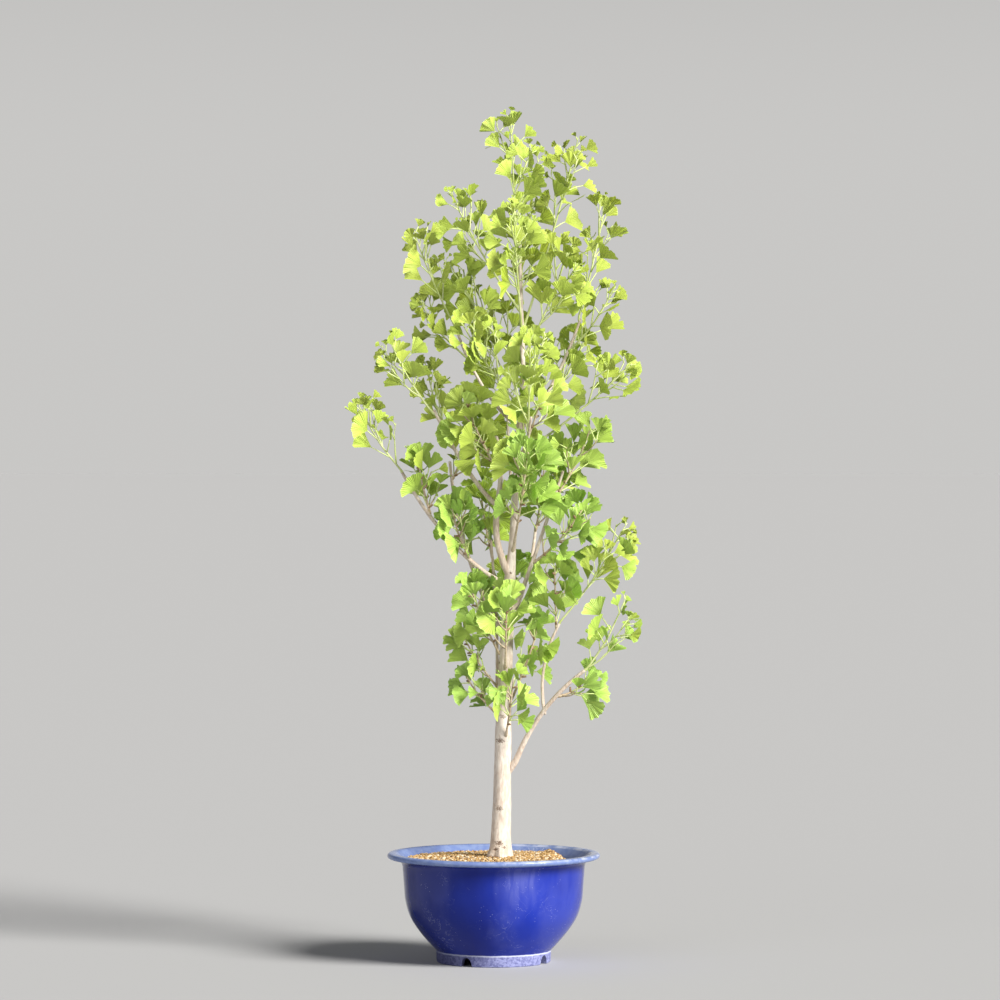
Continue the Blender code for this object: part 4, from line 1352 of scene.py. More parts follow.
def scuff_group() -> NodeTree:
    """Makes the group of fine scratches and chalky specks.

    Returns:
        The group.
    """
    graph = Effect("scuffs_and_chalk", Scratch_Scale=30.0, Speck_Scale=300.0, Amount=0.5)
    place = graph.place()
    patches = graph.span(graph.noise(place, 22.0, 3.0), 0.50, 0.72)
    bent = graph.noise(place, graph.given["Scratch Scale"], 6.0, Distortion=2.5)
    line = graph.math("ABSOLUTE", graph.minus(bent, 0.5))
    scratch = graph.times(graph.span(line, 0.0, 0.010, 1.0, 0.0), patches)
    specks = graph.add("ShaderNodeTexVoronoi", {"Vector": place, "Scale": graph.given["Speck Scale"]})
    dots = graph.span(specks.outputs["Distance"], 0.10, 0.22, 1.0, 0.0)
    chosen = graph.math("GREATER_THAN", graph.noise(place, 55.0, 2.0), 0.62)
    dots = graph.times(dots, chosen)
    mask = graph.times(graph.math("MAXIMUM", scratch, dots), graph.given["Amount"], clamp=True)
    return graph.give(Mask=mask)


def bark_group() -> NodeTree:
    """Makes the group of lengthwise bark streaks with dark flecks.

    Returns:
        The group.
    """
    graph = Effect(
        "streaked_bark",
        Pale=(0.66, 0.54, 0.42),
        Tan=(0.45, 0.33, 0.24),
        Fleck=(0.12, 0.07, 0.04),
        Streak_Scale=260.0,
        Fleck_Amount=0.5,
    )
    place = graph.place()
    lengthwise = graph.add("ShaderNodeMapping", {"Vector": place, "Scale": (1, 1, 0.30)}).outputs[0]
    streak = graph.noise(lengthwise, graph.given["Streak Scale"], 5.0)
    broad = graph.noise(lengthwise, 60.0, 3.0)
    both = graph.plus(graph.times(streak, 0.55), graph.times(broad, 0.45))
    tone = graph.span(both, 0.38, 0.62)
    crosswise = graph.add("ShaderNodeMapping", {"Vector": place, "Scale": (0.5, 0.5, 1.6)}).outputs[0]
    fleck = graph.span(graph.noise(crosswise, 420.0, 2.0), 0.64, 0.74)
    near = graph.span(graph.noise(place, 45.0, 2.0), 0.42, 0.66)
    fleck = graph.times(graph.times(fleck, near), graph.given["Fleck Amount"], clamp=True)
    colour = graph.mix(fleck, graph.mix(tone, graph.given["Tan"], graph.given["Pale"]), graph.given["Fleck"])
    return graph.give(Color=colour, Height=graph.minus(streak, fleck))


def spot_group() -> NodeTree:
    """Makes the group that masks a flat spot with a torn edge.

    Returns:
        The group.
    """
    graph = Effect("torn_spot", X=0.0, Y=0.0, Z=0.0, Radius=0.004)
    place = graph.place()
    middle = graph.add("ShaderNodeCombineXYZ", {axis: graph.given[axis] for axis in "XYZ"}).outputs[0]
    apart = graph.vector("SUBTRACT", place, middle)
    flat = graph.vector("MULTIPLY", apart, (1.0, 1.0, 1.6))
    away = graph.vector("LENGTH", flat)
    shreds = graph.add("ShaderNodeMapping", {"Vector": place, "Scale": (1, 1, 2.0)}).outputs[0]
    torn = graph.times(graph.noise(shreds, 460.0, 4.0), graph.times(graph.given["Radius"], 3.2))
    inside = graph.math("DIVIDE", graph.plus(away, torn), graph.given["Radius"])
    return graph.give(Mask=graph.span(inside, 1.85, 2.30, 1.0, 0.0))


def leaf_vein_group() -> NodeTree:
    """Makes the group of fine veins that fan out from a leaf's foot, and of its pale rim.

    Returns:
        The group.
    """
    graph = Effect("fan_veins", Veins=34.0, Rim_Width=0.08, Streaks=18.0)
    place = graph.add("ShaderNodeUVMap", uv_map="leaf_place").outputs[0]
    turn, depth = graph.part(place, "X"), graph.part(place, "Y")
    ridge = graph.math("SINE", graph.times(graph.times(turn, graph.given["Veins"]), pi))
    edge = graph.minus(1.0, graph.given["Rim Width"])
    rim = graph.math("DIVIDE", graph.minus(depth, edge), graph.given["Rim Width"], clamp=True)
    sideways = graph.times(turn, graph.given["Streaks"])
    fanned = graph.add("ShaderNodeCombineXYZ", {"X": sideways, "Y": depth}).outputs[0]
    shifted = graph.vector("MULTIPLY", graph.place(), (30, 30, 30))
    fanned = graph.vector("ADD", fanned, shifted)
    streak = graph.span(graph.noise(fanned, 1.0, 2.0), 0.36, 0.64)
    return graph.give(Height=ridge, Rim=rim, Foot=graph.span(depth, 0.0, 0.45, 1.0, 0.0), Streak=streak)


def grit_group() -> NodeTree:
    """Makes the group of grains of several colours.

    Returns:
        The group.
    """
    graph = Effect("grit", Light=(0.7, 0.55, 0.33), Dark=(0.3, 0.17, 0.06), Scale=300.0)
    place = graph.place()
    cells = graph.add("ShaderNodeTexVoronoi", {"Vector": place, "Scale": graph.given["Scale"]})
    grain = graph.add("ShaderNodeSeparateColor", {0: cells.outputs["Color"]}).outputs[0]
    fine = graph.noise(place, graph.times(graph.given["Scale"], 3.0), 3.0)
    tone = graph.plus(graph.times(grain, 0.7), graph.times(fine, 0.4), clamp=True)
    colour = graph.mix(tone, graph.given["Dark"], graph.given["Light"])
    return graph.give(Color=colour, Height=graph.minus(fine, cells.outputs["Distance"]))


class Groups:
    """The shader node groups, each built once."""

    def __init__(self) -> None:
        """Builds them all."""
        self.mottle = mottle_group()
        self.band = height_band_group()
        self.scuffs = scuff_group()
        self.bark = bark_group()
        self.spot = spot_group()
        self.veins = leaf_vein_group()
        self.grit = grit_group()


GROUPS = Groups()


# Finishes


Started = tuple[Material, Graph, Node]


def start_material(name: str, roughness: float, specular: float = 0.5) -> Started:
    """Starts a material with a plain Principled shader.

    Args:
        name: Its name.
        roughness: The shader's roughness, where nothing is joined to it.
        specular: The shader's specular level.

    Returns:
        The material, its graph and its shader.
    """
    material = bpy.data.materials.new(name)
    material.use_nodes = True
    shader = material.node_tree.nodes["Principled BSDF"]
    shader.inputs["Roughness"].default_value = roughness
    shader.inputs["Specular IOR Level"].default_value = specular
    return material, Graph(material.node_tree), shader


class Band(NamedTuple):
    """An uneven step in a finish: its height, its softness, how far and how closely it wavers, and its way.

    It runs level and masks what lies above it, or upright at a place across and masks what lies to its right.
    """

    at: float
    softness: float
    wobble: float
    scale: float
    across: float = 0.0

    def mask(self, graph: Graph) -> Socket:
        """Adds the mask of what lies beyond the step.

        Args:
            graph: The material's graph.

        Returns:
            The mask.
        """
        sizes = {"Height": self.at, "Softness": self.softness, "Wobble": self.wobble, "Scale": self.scale}
        return graph.use(GROUPS.band, **sizes, Across=self.across).outputs["Above"]


@dataclass(frozen=True)
class LeafFinish:
    """A leaf's upper and under side, both dull and veined."""

    name: str
    face: Colour
    back: Colour
    rim: Colour
    roughness: float = 0.46
    blotch_tone: float = 0.88
    furrow_tone: float = 0.60
    rim_share: float = 0.70
    foot_share: float = 0.35
    back_share: float = 0.8

    def material(self) -> Material:
        """Builds the material.

        Returns:
            The material.
        """
        material, graph, shader = start_material(self.name, self.roughness, 0.50)
        veins = graph.use(GROUPS.veins)
        darker = tuple(value * self.blotch_tone for value in self.face)
        blotch = graph.use(GROUPS.mottle, First=darker, Second=self.face, Scale=55.0)
        furrow = tuple(value * self.furrow_tone for value in self.face)
        face = graph.mix(veins.outputs["Streak"], furrow, blotch.outputs["Color"])
        face = graph.mix(graph.times(veins.outputs["Rim"], self.rim_share), face, self.rim)
        face = graph.mix(graph.times(veins.outputs["Foot"], self.foot_share), face, self.rim)
        backward = graph.add("ShaderNodeNewGeometry").outputs["Backfacing"]
        graph.join(graph.mix(graph.times(backward, self.back_share), face, self.back), shader, "Base Color")
        graph.bump(shader, veins.outputs["Height"], 0.7, 0.0004)
        return material


@dataclass(frozen=True)
class GreenStemFinish:
    """The smooth green skin of stalks and young shoots."""

    name: str
    pale: Colour
    green: Colour
    roughness: float = 0.5

    def material(self) -> Material:
        """Builds the material.

        Returns:
            The material.
        """
        material, graph, shader = start_material(self.name, self.roughness)
        skin = graph.use(GROUPS.mottle, First=self.green, Second=self.pale, Scale=90.0, Stretch=0.3)
        graph.join(skin.outputs["Color"], shader, "Base Color")
        graph.bump(shader, skin.outputs["Mask"], 0.2, 0.0002)
        return material


class Scar(NamedTuple):
    """A scar or dark mark on the trunk: its height, its turn from the front to the right, and its radius."""

    height: float
    turn: float
    radius: float


@dataclass(frozen=True)
class BarkFinish:
    """Pale bark with lengthwise streaks, dark flecks and, on the trunk, a few scars."""

    name: str
    pale: Colour
    tan: Colour
    fleck: Colour
    streak_scale: float
    fleck_amount: float
    scars: tuple[Scar, ...] = ()
    scar_colour: Colour = (0.14, 0.080, 0.045)
    scar_share: float = 0.85
    base_height: float = 0.0
    roughness: float = 0.82

    def material(self, middles: Callable[[float], Span] | None = None) -> Material:
        """Builds the material.

        Args:
            middles: The trunk's lean and radius at a height, to set the scars by.

        Returns:
            The material.
        """
        material, graph, shader = start_material(self.name, self.roughness, 0.3)
        amount: object = self.fleck_amount
        if self.base_height:
            above = Band(self.base_height, 0.05, 0.02, 40.0).mask(graph)
            amount = graph.span(above, 0.0, 1.0, 1.0, self.fleck_amount)
        bark = graph.use(
            GROUPS.bark,
            Pale=self.pale,
            Tan=self.tan,
            Fleck=self.fleck,
            Streak_Scale=self.streak_scale,
            Fleck_Amount=amount,
        )
        colour = bark.outputs["Color"]
        for scar in self.scars:
            lean, radius = middles(scar.height)
            x, y = AXIS.x + lean + radius * sin(scar.turn), AXIS.y - radius * cos(scar.turn)
            spot = graph.use(GROUPS.spot, X=x, Y=y, Z=scar.height, Radius=scar.radius)
            colour = graph.mix(graph.times(spot.outputs["Mask"], self.scar_share), colour, self.scar_colour)
        graph.join(colour, shader, "Base Color")
        graph.bump(shader, bark.outputs["Height"], 0.9, 0.0010)
        return material


@dataclass(frozen=True)
class GlazeFinish:
    """Cobalt glaze over a turned pot: pale where it is thin on the lip, chalky and matt on the foot ring,
    with painted shade on the left of the body and foot, a painted reflection below the lip, and painted
    highlights at the right of the lip and the foot's joint.
    """

    name: str = "cobalt_glaze"
    deep: Colour = (0.008, 0.020, 0.260)
    bright: Colour = (0.012, 0.032, 0.360)
    # Painted shade: the body's left side is darkened towards this colour, away from the key light.
    shaded: Colour = (0.006, 0.013, 0.120)
    thin: Colour = (0.150, 0.210, 0.440)
    thinnest: Colour = (0.200, 0.265, 0.480)
    # Colour of real scuffs and specks, also of the painted highlight on the lip's right and on the foot
    # joint.
    chalk: Colour = (0.66, 0.70, 0.80)
    foot: Colour = (0.080, 0.090, 0.250)
    foot_light: Colour = (0.34, 0.36, 0.62)
    # Painted shade: the foot ring is darkened towards this colour on the left, away from the key light.
    foot_shaded: Colour = (0.050, 0.055, 0.160)
    foot_mottle: float = 0.75
    # Colour of the cloudy patches in the glaze and of the painted reflection below the lip.
    pale_patch: Colour = (0.150, 0.170, 0.460)
    bloom_share: float = 0.16
    wear: float = 0.62
    lip: Band = Band(0.1440, 0.0022, 0.0016, 34.0)
    lip_face: Band = Band(0.1500, 0.0012, 0.0004, 60.0)
    above_foot: Band = Band(0.0162, 0.0016, 0.0014, 120.0)
    above_joint: Band = Band(0.0146, 0.0010, 0.0014, 120.0)
    # The pot's right side, toward the key light; the glaze's painted shade and painted highlights are laid on
    # by this mask.
    right: Band = Band(-0.015, 0.19, 0.06, 11.0, across=1.0)
    # Painted reflection: a streaky pale band below the lip, a little right of the middle.
    painted_reflection_start: Band = Band(0.012, 0.022, 0.014, 30.0, across=1.0)
    painted_reflection_end: Band = Band(0.064, 0.024, 0.016, 30.0, across=1.0)
    painted_reflection_foot: Band = Band(0.094, 0.045, 0.030, 26.0)
    painted_reflection_shares: Span = (0.22, 0.45)
    wall_height: float = 0.130
    wall_flare: float = 0.6
    wall_radii: Span = (0.1218, 0.1232)

    def glaze_patches_and_painted_reflection(self, graph: Graph) -> Socket:
        """Adds the mask of the cloudy glaze patches, and of a streaky painted reflection below the lip and a
        little to the right.

        Args:
            graph: The material's graph.

        Returns:
            The mask.
        """
        pale_patch = graph.use(GROUPS.mottle, Scale=15.0, Stretch=0.45).outputs["Mask"]
        cloudy = graph.times(graph.math("POWER", pale_patch, 3.0), self.bloom_share)
        streaks = graph.use(GROUPS.mottle, Scale=95.0, Stretch=0.16).outputs["Mask"]
        # Painted reflection: streaks in a band below the lip, a little to the right.
        painted_reflection = graph.times(self.painted_reflection_start.mask(graph), graph.minus(1.0, self.painted_reflection_end.mask(graph)))
        painted_reflection = graph.times(painted_reflection, self.painted_reflection_foot.mask(graph))
        painted_reflection = graph.times(painted_reflection, graph.span(streaks, 0.0, 1.0, *self.painted_reflection_shares))
        return graph.math("MAXIMUM", cloudy, painted_reflection)

    def inner_wall(self, graph: Graph) -> Socket:
        """Adds the mask of the bowl's inner wall, by its distance from the pot's axis.

        Args:
            graph: The material's graph.

        Returns:
            The mask.
        """
        place = graph.place()
        level = graph.vector("MULTIPLY", place, (1.0, 1.0, 0.0))
        away = graph.vector("DISTANCE", level, (AXIS.x, AXIS.y, 0.0))
        flare = graph.times(graph.minus(graph.part(place, "Z"), self.wall_height), self.wall_flare)
        low, high = self.wall_radii
        return graph.span(graph.minus(away, flare), low, high, 1.0, 0.0)

    def worn(self, graph: Graph, scuffs: Socket, lip: Socket, right: Socket) -> Socket:
        """Adds the mask of the chalky wear and painted highlight: scuffs, more on the lip, and a painted
        highlight on the lip's face at the right.

        Args:
            graph: The material's graph.
            scuffs: The mask of the scuffs.
            lip: The mask of the lip.
            right: The mask of the pot's right side, toward the key light.

        Returns:
            The mask.
        """
        scuffed = graph.times(scuffs, graph.plus(graph.times(lip, 0.6), 0.4))
        # Painted highlight: chalky patches on the lip's face, only towards the right where the key light
        # falls.
        painted_lip_highlight = graph.times(graph.use(GROUPS.mottle, Scale=70.0).outputs["Mask"], 0.55)
        painted_lip_highlight = graph.times(graph.times(painted_lip_highlight, lip), graph.span(right, 0.4, 1.0))
        return graph.math("MAXIMUM", scuffed, graph.times(painted_lip_highlight, self.lip_face.mask(graph)))

    def material(self) -> Material:
        """Builds the material.

        Returns:
            The material.
        """
        material, graph, shader = start_material(self.name, 0.2, 0.20)
        right, lip = self.right.mask(graph), self.lip.mask(graph)
        runs = graph.use(GROUPS.mottle, First=self.deep, Second=self.bright, Scale=12.0, Stretch=0.7)
        # Painted shade: the body darkens towards the left, away from the key light.
        colour = graph.mix(graph.span(right, 0.0, 1.0, 0.15, 1.0), self.shaded, runs.outputs["Color"])
        glaze_patches_and_painted_reflection = self.glaze_patches_and_painted_reflection(graph)
        # Cloudy patches in the glaze, and the painted reflection below the lip.
        colour = graph.mix(glaze_patches_and_painted_reflection, colour, self.pale_patch)
        thin = graph.use(GROUPS.mottle, First=self.thin, Second=self.thinnest, Scale=130.0)
        colour = graph.mix(graph.math("MAXIMUM", lip, self.inner_wall(graph)), colour, thin.outputs["Color"])
        scuffs = graph.use(GROUPS.scuffs, Amount=self.wear).outputs["Mask"]
        # Real scuffs, and the painted highlight on the lip's right, in the same chalky colour.
        colour = graph.mix(self.worn(graph, scuffs, lip, right), colour, self.chalk)
        above_foot = self.above_foot.mask(graph)
        on_foot = graph.minus(1.0, above_foot)
        grit = graph.use(GROUPS.grit, Light=self.foot_light, Dark=self.foot, Scale=430.0)
        # Painted shade: the foot's grit goes darker towards the left, away from the key light.
        shade = graph.mix(graph.span(right, 0.15, 0.85), self.foot_shaded, (1.0, 1.0, 1.0))
        shade = graph.mix(1.0, grit.outputs["Color"], shade, "MULTIPLY")
        clay = graph.mix(self.foot_mottle, grit.outputs["Color"], shade)
        colour = graph.mix(above_foot, clay, colour)
        # A chalky line where the glaze meets the foot, with a painted highlight that makes it stronger
        # towards the right.
        edge = graph.times(self.above_joint.mask(graph), on_foot)
        edge = graph.times(edge, graph.span(right, 0.0, 0.8, 0.15, 0.8))
        graph.join(graph.mix(edge, colour, self.chalk), shader, "Base Color")
        gloss = graph.plus(graph.span(glaze_patches_and_painted_reflection, 0.0, 0.3, 0.12, 0.26), graph.times(scuffs, 0.35))
        graph.join(graph.plus(gloss, graph.times(on_foot, 0.6), clamp=True), shader, "Roughness")
        rough = graph.times(grit.outputs["Height"], on_foot)
        ripple = graph.times(runs.outputs["Mask"], 0.25)
        graph.bump(shader, graph.plus(rough, ripple), 0.35, 0.0005)
        return material


@dataclass(frozen=True)
class GritFinish:
    """Baked-clay granules."""

    name: str
    light: Colour
    dark: Colour
    scale: float

    def material(self) -> Material:
        """Builds the material.

        Returns:
            The material.
        """
        material, graph, shader = start_material(self.name, 0.92, 0.2)
        grit = graph.use(GROUPS.grit, Light=self.light, Dark=self.dark, Scale=self.scale)
        graph.join(grit.outputs["Color"], shader, "Base Color")
        graph.bump(shader, grit.outputs["Height"], 0.5, 0.0008)
        return material


# Sub-assemblies


@dataclass
class Pot:
    """The turned bowl with its outward lip, on a foot ring with four arched notches."""

    segments: int = 144
    body_step: float = 0.004
    smooth_below: float = radians(38)
    wall: float = 0.0075
    body: tuple[Span, ...] = (
        (0.0805, 0.0165),
        (0.0905, 0.0272),
        (0.1046, 0.0440),
        (0.1172, 0.0640),
        (0.1237, 0.0860),
        (0.1258, 0.1090),
        (0.1276, 0.1340),
    )
    mouth: tuple[Span, ...] = (
        (0.1201, 0.1330),
        (0.1213, 0.1362),
        (0.1281, 0.1440),
        (0.1340, 0.1495),
        (0.1362, 0.1516),
    )
    lip_face: tuple[Span, ...] = ((0.1382, 0.1525), (0.1442, 0.1524))
    under_lip: tuple[Span, ...] = ((0.1380, 0.1440), (0.1311, 0.1415), (0.1288, 0.1380))
    foot: tuple[Span, ...] = (
        (0.0800, 0.0027),
        (0.0796, 0.0009),
        (0.0785, 0.0),
        (0.0715, 0.0),
        (0.0700, 0.0015),
        (0.0700, 0.0125),
    )
    wall_top: float = 0.1320
    lip_radius: float = 0.1490
    lip_top: float = 0.1525
    lip_depth: float = 0.0075
    mouth_radius: float = 0.1370
    floor_top: float = 0.0235
    floor_edge: float = 0.0120
    floor_underside: float = 0.0125
    foot_radius: float = 0.0800
    foot_wall: float = 0.0100
    drain_radius: float = 0.0120
    notch_count: int = 4
    notch_turn: float = radians(-28.5)
    notch_half_width: float = 0.0090
    notch_height: float = 0.0130
    finish: GlazeFinish = field(default_factory=GlazeFinish)

    def smooth_body(self) -> Contour:
        """Rounds the outside off between its stations.

        Returns:
            The outside from the foot to the flare, as (radius, height).
        """
        points = [Vector((r, 0, z)) for r, z in self.body]
        curve = Limb("outside", points, [0.0] * len(points), (points[1] - points[0]).normalized())
        return [(p.x, p.z) for p in curve.fine(self.body_step)[0]]

    def inside(self) -> Contour:
        """Works out the inside from the floor to the mouth.

        Returns:
            The inside, as (radius, height).
        """
        points = []
        outside = self.smooth_body()
        for (r0, z0), (r1, z1) in zip(outside, outside[1:]):
            if z0 < self.body[1][1] or z1 > self.wall_top:
                continue
            along = Vector((r1 - r0, z1 - z0)).normalized()
            middle = Vector(((r0 + r1) / 2, (z0 + z1) / 2))
            points.append(tuple(middle + self.wall * Vector((-along.y, along.x))))
        return [*points, *self.mouth]

    def inner_radius(self, height: float) -> float:
        """The radius of the inside at a height."""
        contour = self.inside()
        for (r0, z0), (r1, z1) in zip(contour, contour[1:]):
            if height <= z1:
                return r0 + (r1 - r0) * (height - z0) / (z1 - z0)
        return contour[-1][0]

    def section(self) -> Contour:
        """Works out the closed section: the inside upward, the lip, the outside downward, the foot.

        Returns:
            The section, as (radius, height).
        """
        inside = self.inside()
        section = [(self.drain_radius, self.floor_top), (inside[0][0] - self.floor_edge, self.floor_top)]
        section += [*inside, *self.lip_face]
        bead = self.lip_depth / 2
        for step in range(7):
            turn = radians(80 - 26 * step)
            out = self.lip_radius - bead + bead * cos(turn)
            section.append((out, self.lip_top - bead + bead * sin(turn)))
        section += [*self.under_lip, *reversed(self.smooth_body()), *self.foot]
        return [*section, (self.drain_radius, self.floor_underside)]

    def notch_cutter(self, angle: float) -> Object:
        """Makes an arch lying along a radius, which cuts one notch in the foot ring.

        Args:
            angle: Its direction from the axis.

        Returns:
            The cutter.
        """
        mesh = bpy.data.meshes.new("notch_cutter")
        bm = bmesh.new()
        radii = {"radius1": self.notch_half_width, "radius2": self.notch_half_width}
        bmesh.ops.create_cone(bm, cap_ends=True, segments=32, depth=3 * self.foot_wall, **radii)
        lay_down = Matrix.Rotation(pi / 2, 4, "Y")
        taller = Matrix.Diagonal((1, 1, self.notch_height / self.notch_half_width, 1))
        out = Matrix.Translation((self.foot_radius - self.foot_wall / 2, 0, 0))
        turned = Matrix.Translation(AXIS) @ Matrix.Rotation(angle, 4, "Z") @ out @ taller @ lay_down
        bmesh.ops.transform(bm, matrix=turned, verts=bm.verts)
        bm.to_mesh(mesh)
        bm.free()
        cutter = bpy.data.objects.new("notch_cutter", mesh)
        show(cutter)
        return cutter

    def build(self) -> Object:
        """Builds and dresses the pot.

        Returns:
            The pot's piece.
        """
        draft = Draft()
        section = self.section()
        rings = []
        for step in range(self.segments):
            angle = 2 * pi * step / self.segments
            x, y = cos(angle), sin(angle)
            rings.append(draft.ring([Vector((r * x, r * y, z)) for r, z in section]))
        for here, there in zip(rings, rings[1:] + rings[:1]):
            draft.bridge(there, here)
        draft.nodes.add("pot")
        pot = draft.piece("glazed_pot", self.finish.material(), "glaze")
        for step in range(self.notch_count):
            cutter = self.notch_cutter(-pi / 2 + self.notch_turn + 2 * pi * step / self.notch_count)
            cut = pot.modifiers.new("notch", "BOOLEAN")
            cut.operation = "DIFFERENCE"
            cut.object = cutter
            graph = bpy.context.evaluated_depsgraph_get()
            notched = bpy.data.meshes.new_from_object(pot.evaluated_get(graph))
            pot.modifiers.remove(cut)
            pot.data = notched
            bpy.data.objects.remove(cutter)
        pot.data.set_sharp_from_angle(angle=self.smooth_below)
        return pot


class Stone:
    """A worn stone of twelve corners and twenty faces, from which every granule is shaped."""

    def __init__(self) -> None:
        """Sets the corners of the regular solid, two apart along an edge, and finds the faces among them."""
        golden = (1 + sqrt(5)) / 2
        self.reach = hypot(1, golden)
        self.corners: list[Vector] = []
        for a, b in ((-1, golden), (1, golden), (-1, -golden), (1, -golden)):
            self.corners += [Vector((a, b, 0)), Vector((0, a, b)), Vector((b, 0, a))]
        self.faces: list[tuple[int, int, int]] = []
        for a, b, c in combinations(range(len(self.corners)), 3):
            p, q, r = (self.corners[k] for k in (a, b, c))
            if max((p - q).length, (q - r).length, (p - r).length) < 2.1:
                faces_out = (q - p).cross(r - p).dot(p) > 0
                self.faces.append((a, b, c) if faces_out else (a, c, b))

    def add_to(self, draft: Draft, middle: Vector, radius: float, rng: Random) -> None:
        """Adds one granule, turned, squashed and worn by chance.

        Args:
            draft: The draft that it goes into.
            middle: Its middle.
            radius: Its radius.
            rng: The granules' chances.
        """
        angle = rng.uniform(0, 6.28)
        turn = Matrix.Rotation(angle, 3, Vector((rng.uniform(-1, 1), rng.uniform(-1, 1), 1)).normalized())
        size = radius / self.reach
        squash = Vector((rng.uniform(0.8, 1.25), rng.uniform(0.8, 1.2), rng.uniform(0.6, 0.9)))
        worn = [corner * size * rng.uniform(0.82, 1.1) for corner in self.corners]
        ring = draft.ring([middle + (turn @ corner) * squash for corner in worn])
        draft.faces.extend(tuple(ring[k] for k in face) for face in self.faces)


@dataclass
class Soil:
    """The growing mix: a bed that fills the bowl, darker than the granules as painted shade in the gaps
    between them, and loose granules on it.
    """

    top: float = 0.1465
    edge: float = 0.1415
    dip: float = 0.0140
    heap: float = 0.0065
    heap_at: Span = (0.084, 0.050)
    heap_spread: Span = (0.016, 0.026)
    level_radius: float = 0.030
    slope_length: float = 0.09
    slope_share: float = 0.6
    dip_from: float = 0.078
    dip_run: float = 0.028
    dip_spread: float = 0.120
    bed_depth: float = 0.0012
    rim_guess: float = 0.118
    rim_depth: float = 0.0015
    wall_depth: float = 0.004
    trunk: Station = TRUNK[0]
    ceiling: float = 0.1525
    gap: float = 0.0006
    segments: int = 72
    rings: int = 16
    granule_step: float = 0.0033
    granule_radius: Span = (0.0014, 0.0028)
    granule_lift: Span = (-0.0014, 0.0010)
    granule_stray: Span = (-0.45, 0.45)
    trunk_share: float = 0.95
    rim_share: float = 0.8
    tone_odds: tuple[float, float, float] = (0.62, 0.22, 0.16)
    seed: int = 5

    def height(self, x: float, y: float) -> float:
        """The surface's height: level round the trunk, lower at the right, heaped in one place behind."""
        fall = within((hypot(x - self.trunk.lean, y) - self.level_radius) / self.slope_length)
        level = self.top - (self.top - self.edge) * self.slope_share * fall * fall
        right = within((x - self.dip_from) / self.dip_run) * exp(-((y / self.dip_spread) ** 2))
        (heap_x, heap_y), (wide, deep) = self.heap_at, self.heap_spread
        heap = exp(-(((x - heap_x) / wide) ** 2) - ((y - heap_y) / deep) ** 2)
        return min(level - self.dip * right + self.heap * heap, self.ceiling)

    def rim_radius(self, pot: Pot, across_x: float, along_y: float) -> float:
        """How far out the surface reaches in a direction before it meets the bowl."""
        radius = self.rim_guess
        for _ in range(4):
            below = self.height(radius * across_x, radius * along_y) - self.rim_depth
            radius = pot.inner_radius(below) - self.gap
        return radius

    def build_bed(self, pot: Pot) -> Object:
        """Builds the bed.

        Args:
            pot: The pot that holds it.

        Returns:
            The bed's piece.
        """
        draft = Draft()
        walls = [(r - self.gap, z) for r, z in pot.inside() if z < self.edge - self.dip - self.wall_depth]
        rings = []
        shares = [(k + 1) / self.rings for k in range(self.rings)]
        for step in range(self.segments):
            angle = 2 * pi * step / self.segments
            x, y = cos(angle), sin(angle)
            rim = self.rim_radius(pot, x, y)
            spots = [(rim * share * x, rim * share * y) for share in shares]
            ring = [Vector((a, b, self.height(a, b) - self.bed_depth)) for a, b in spots]
            ring += [Vector((r * x, r * y, z)) for r, z in reversed(walls)]
            foot = walls[0][0] - pot.floor_edge
            ring.append(Vector((foot * x, foot * y, pot.floor_top + self.gap)))
            rings.append(draft.ring(ring))
        top = draft.ring([Vector((0, 0, self.height(0, 0) - self.bed_depth))])[0]
        bottom = draft.ring([Vector((0, 0, pot.floor_top + self.gap))])[0]
        for here, there in zip(rings, rings[1:] + rings[:1]):
            draft.faces.append((top, here[0], there[0]))
            draft.faces.append((bottom, there[-1], here[-1]))
            for k in range(len(here) - 1):
                draft.faces.append((here[k], here[k + 1], there[k + 1], there[k]))
        draft.nodes.add("soil")
        # The bed is darker than the granules: painted shade in the gaps between them, over the mix's own
        # brown.
        finish = GritFinish("bed_soil_and_gap_shade", (0.40, 0.26, 0.11), (0.15, 0.085, 0.035), 330.0)
        return draft.piece("soil_bed", finish.material(), "mix")

    def build_granules(self, pot: Pot) -> list[Object]:
        """Scatters the granules over the bed.

        Args:
            pot: The pot that holds them.

        Returns:
            One piece for each tone.
        """
        tones = (
            GritFinish("golden_clay", (0.60, 0.40, 0.18), (0.40, 0.24, 0.09), 800.0),
            GritFinish("pale_pumice", (0.82, 0.71, 0.53), (0.62, 0.48, 0.31), 800.0),
            GritFinish("brown_clay", (0.34, 0.19, 0.08), (0.16, 0.08, 0.03), 800.0),
        )
        drafts = [Draft() for _ in tones]
        stone = Stone()
        rng = Random(self.seed)
        count = int(pot.mouth_radius / self.granule_step) + 1
        for row in range(-count, count + 1):
            for column in range(-count, count + 1):
                x = (column + rng.uniform(*self.granule_stray)) * self.granule_step
                y = (row + rng.uniform(*self.granule_stray)) * self.granule_step
                radius = rng.uniform(*self.granule_radius)
                tone = rng.choices(range(len(tones)), self.tone_odds)[0]
                away = hypot(x, y)
                in_trunk = hypot(x - self.trunk.lean, y) < self.trunk.radius * self.trunk_share
                if in_trunk or away > self.rim_radius(pot, x / away, y / away) - radius * self.rim_share:
                    continue
                middle = Vector((x, y, self.height(x, y) + rng.uniform(*self.granule_lift)))
                stone.add_to(drafts[tone], middle, radius, rng)
        names = ("granules_golden", "granules_pale", "granules_brown")
        return [draft.piece(name, tone.material(), "mix") for draft, name, tone in zip(drafts, names, tones)]


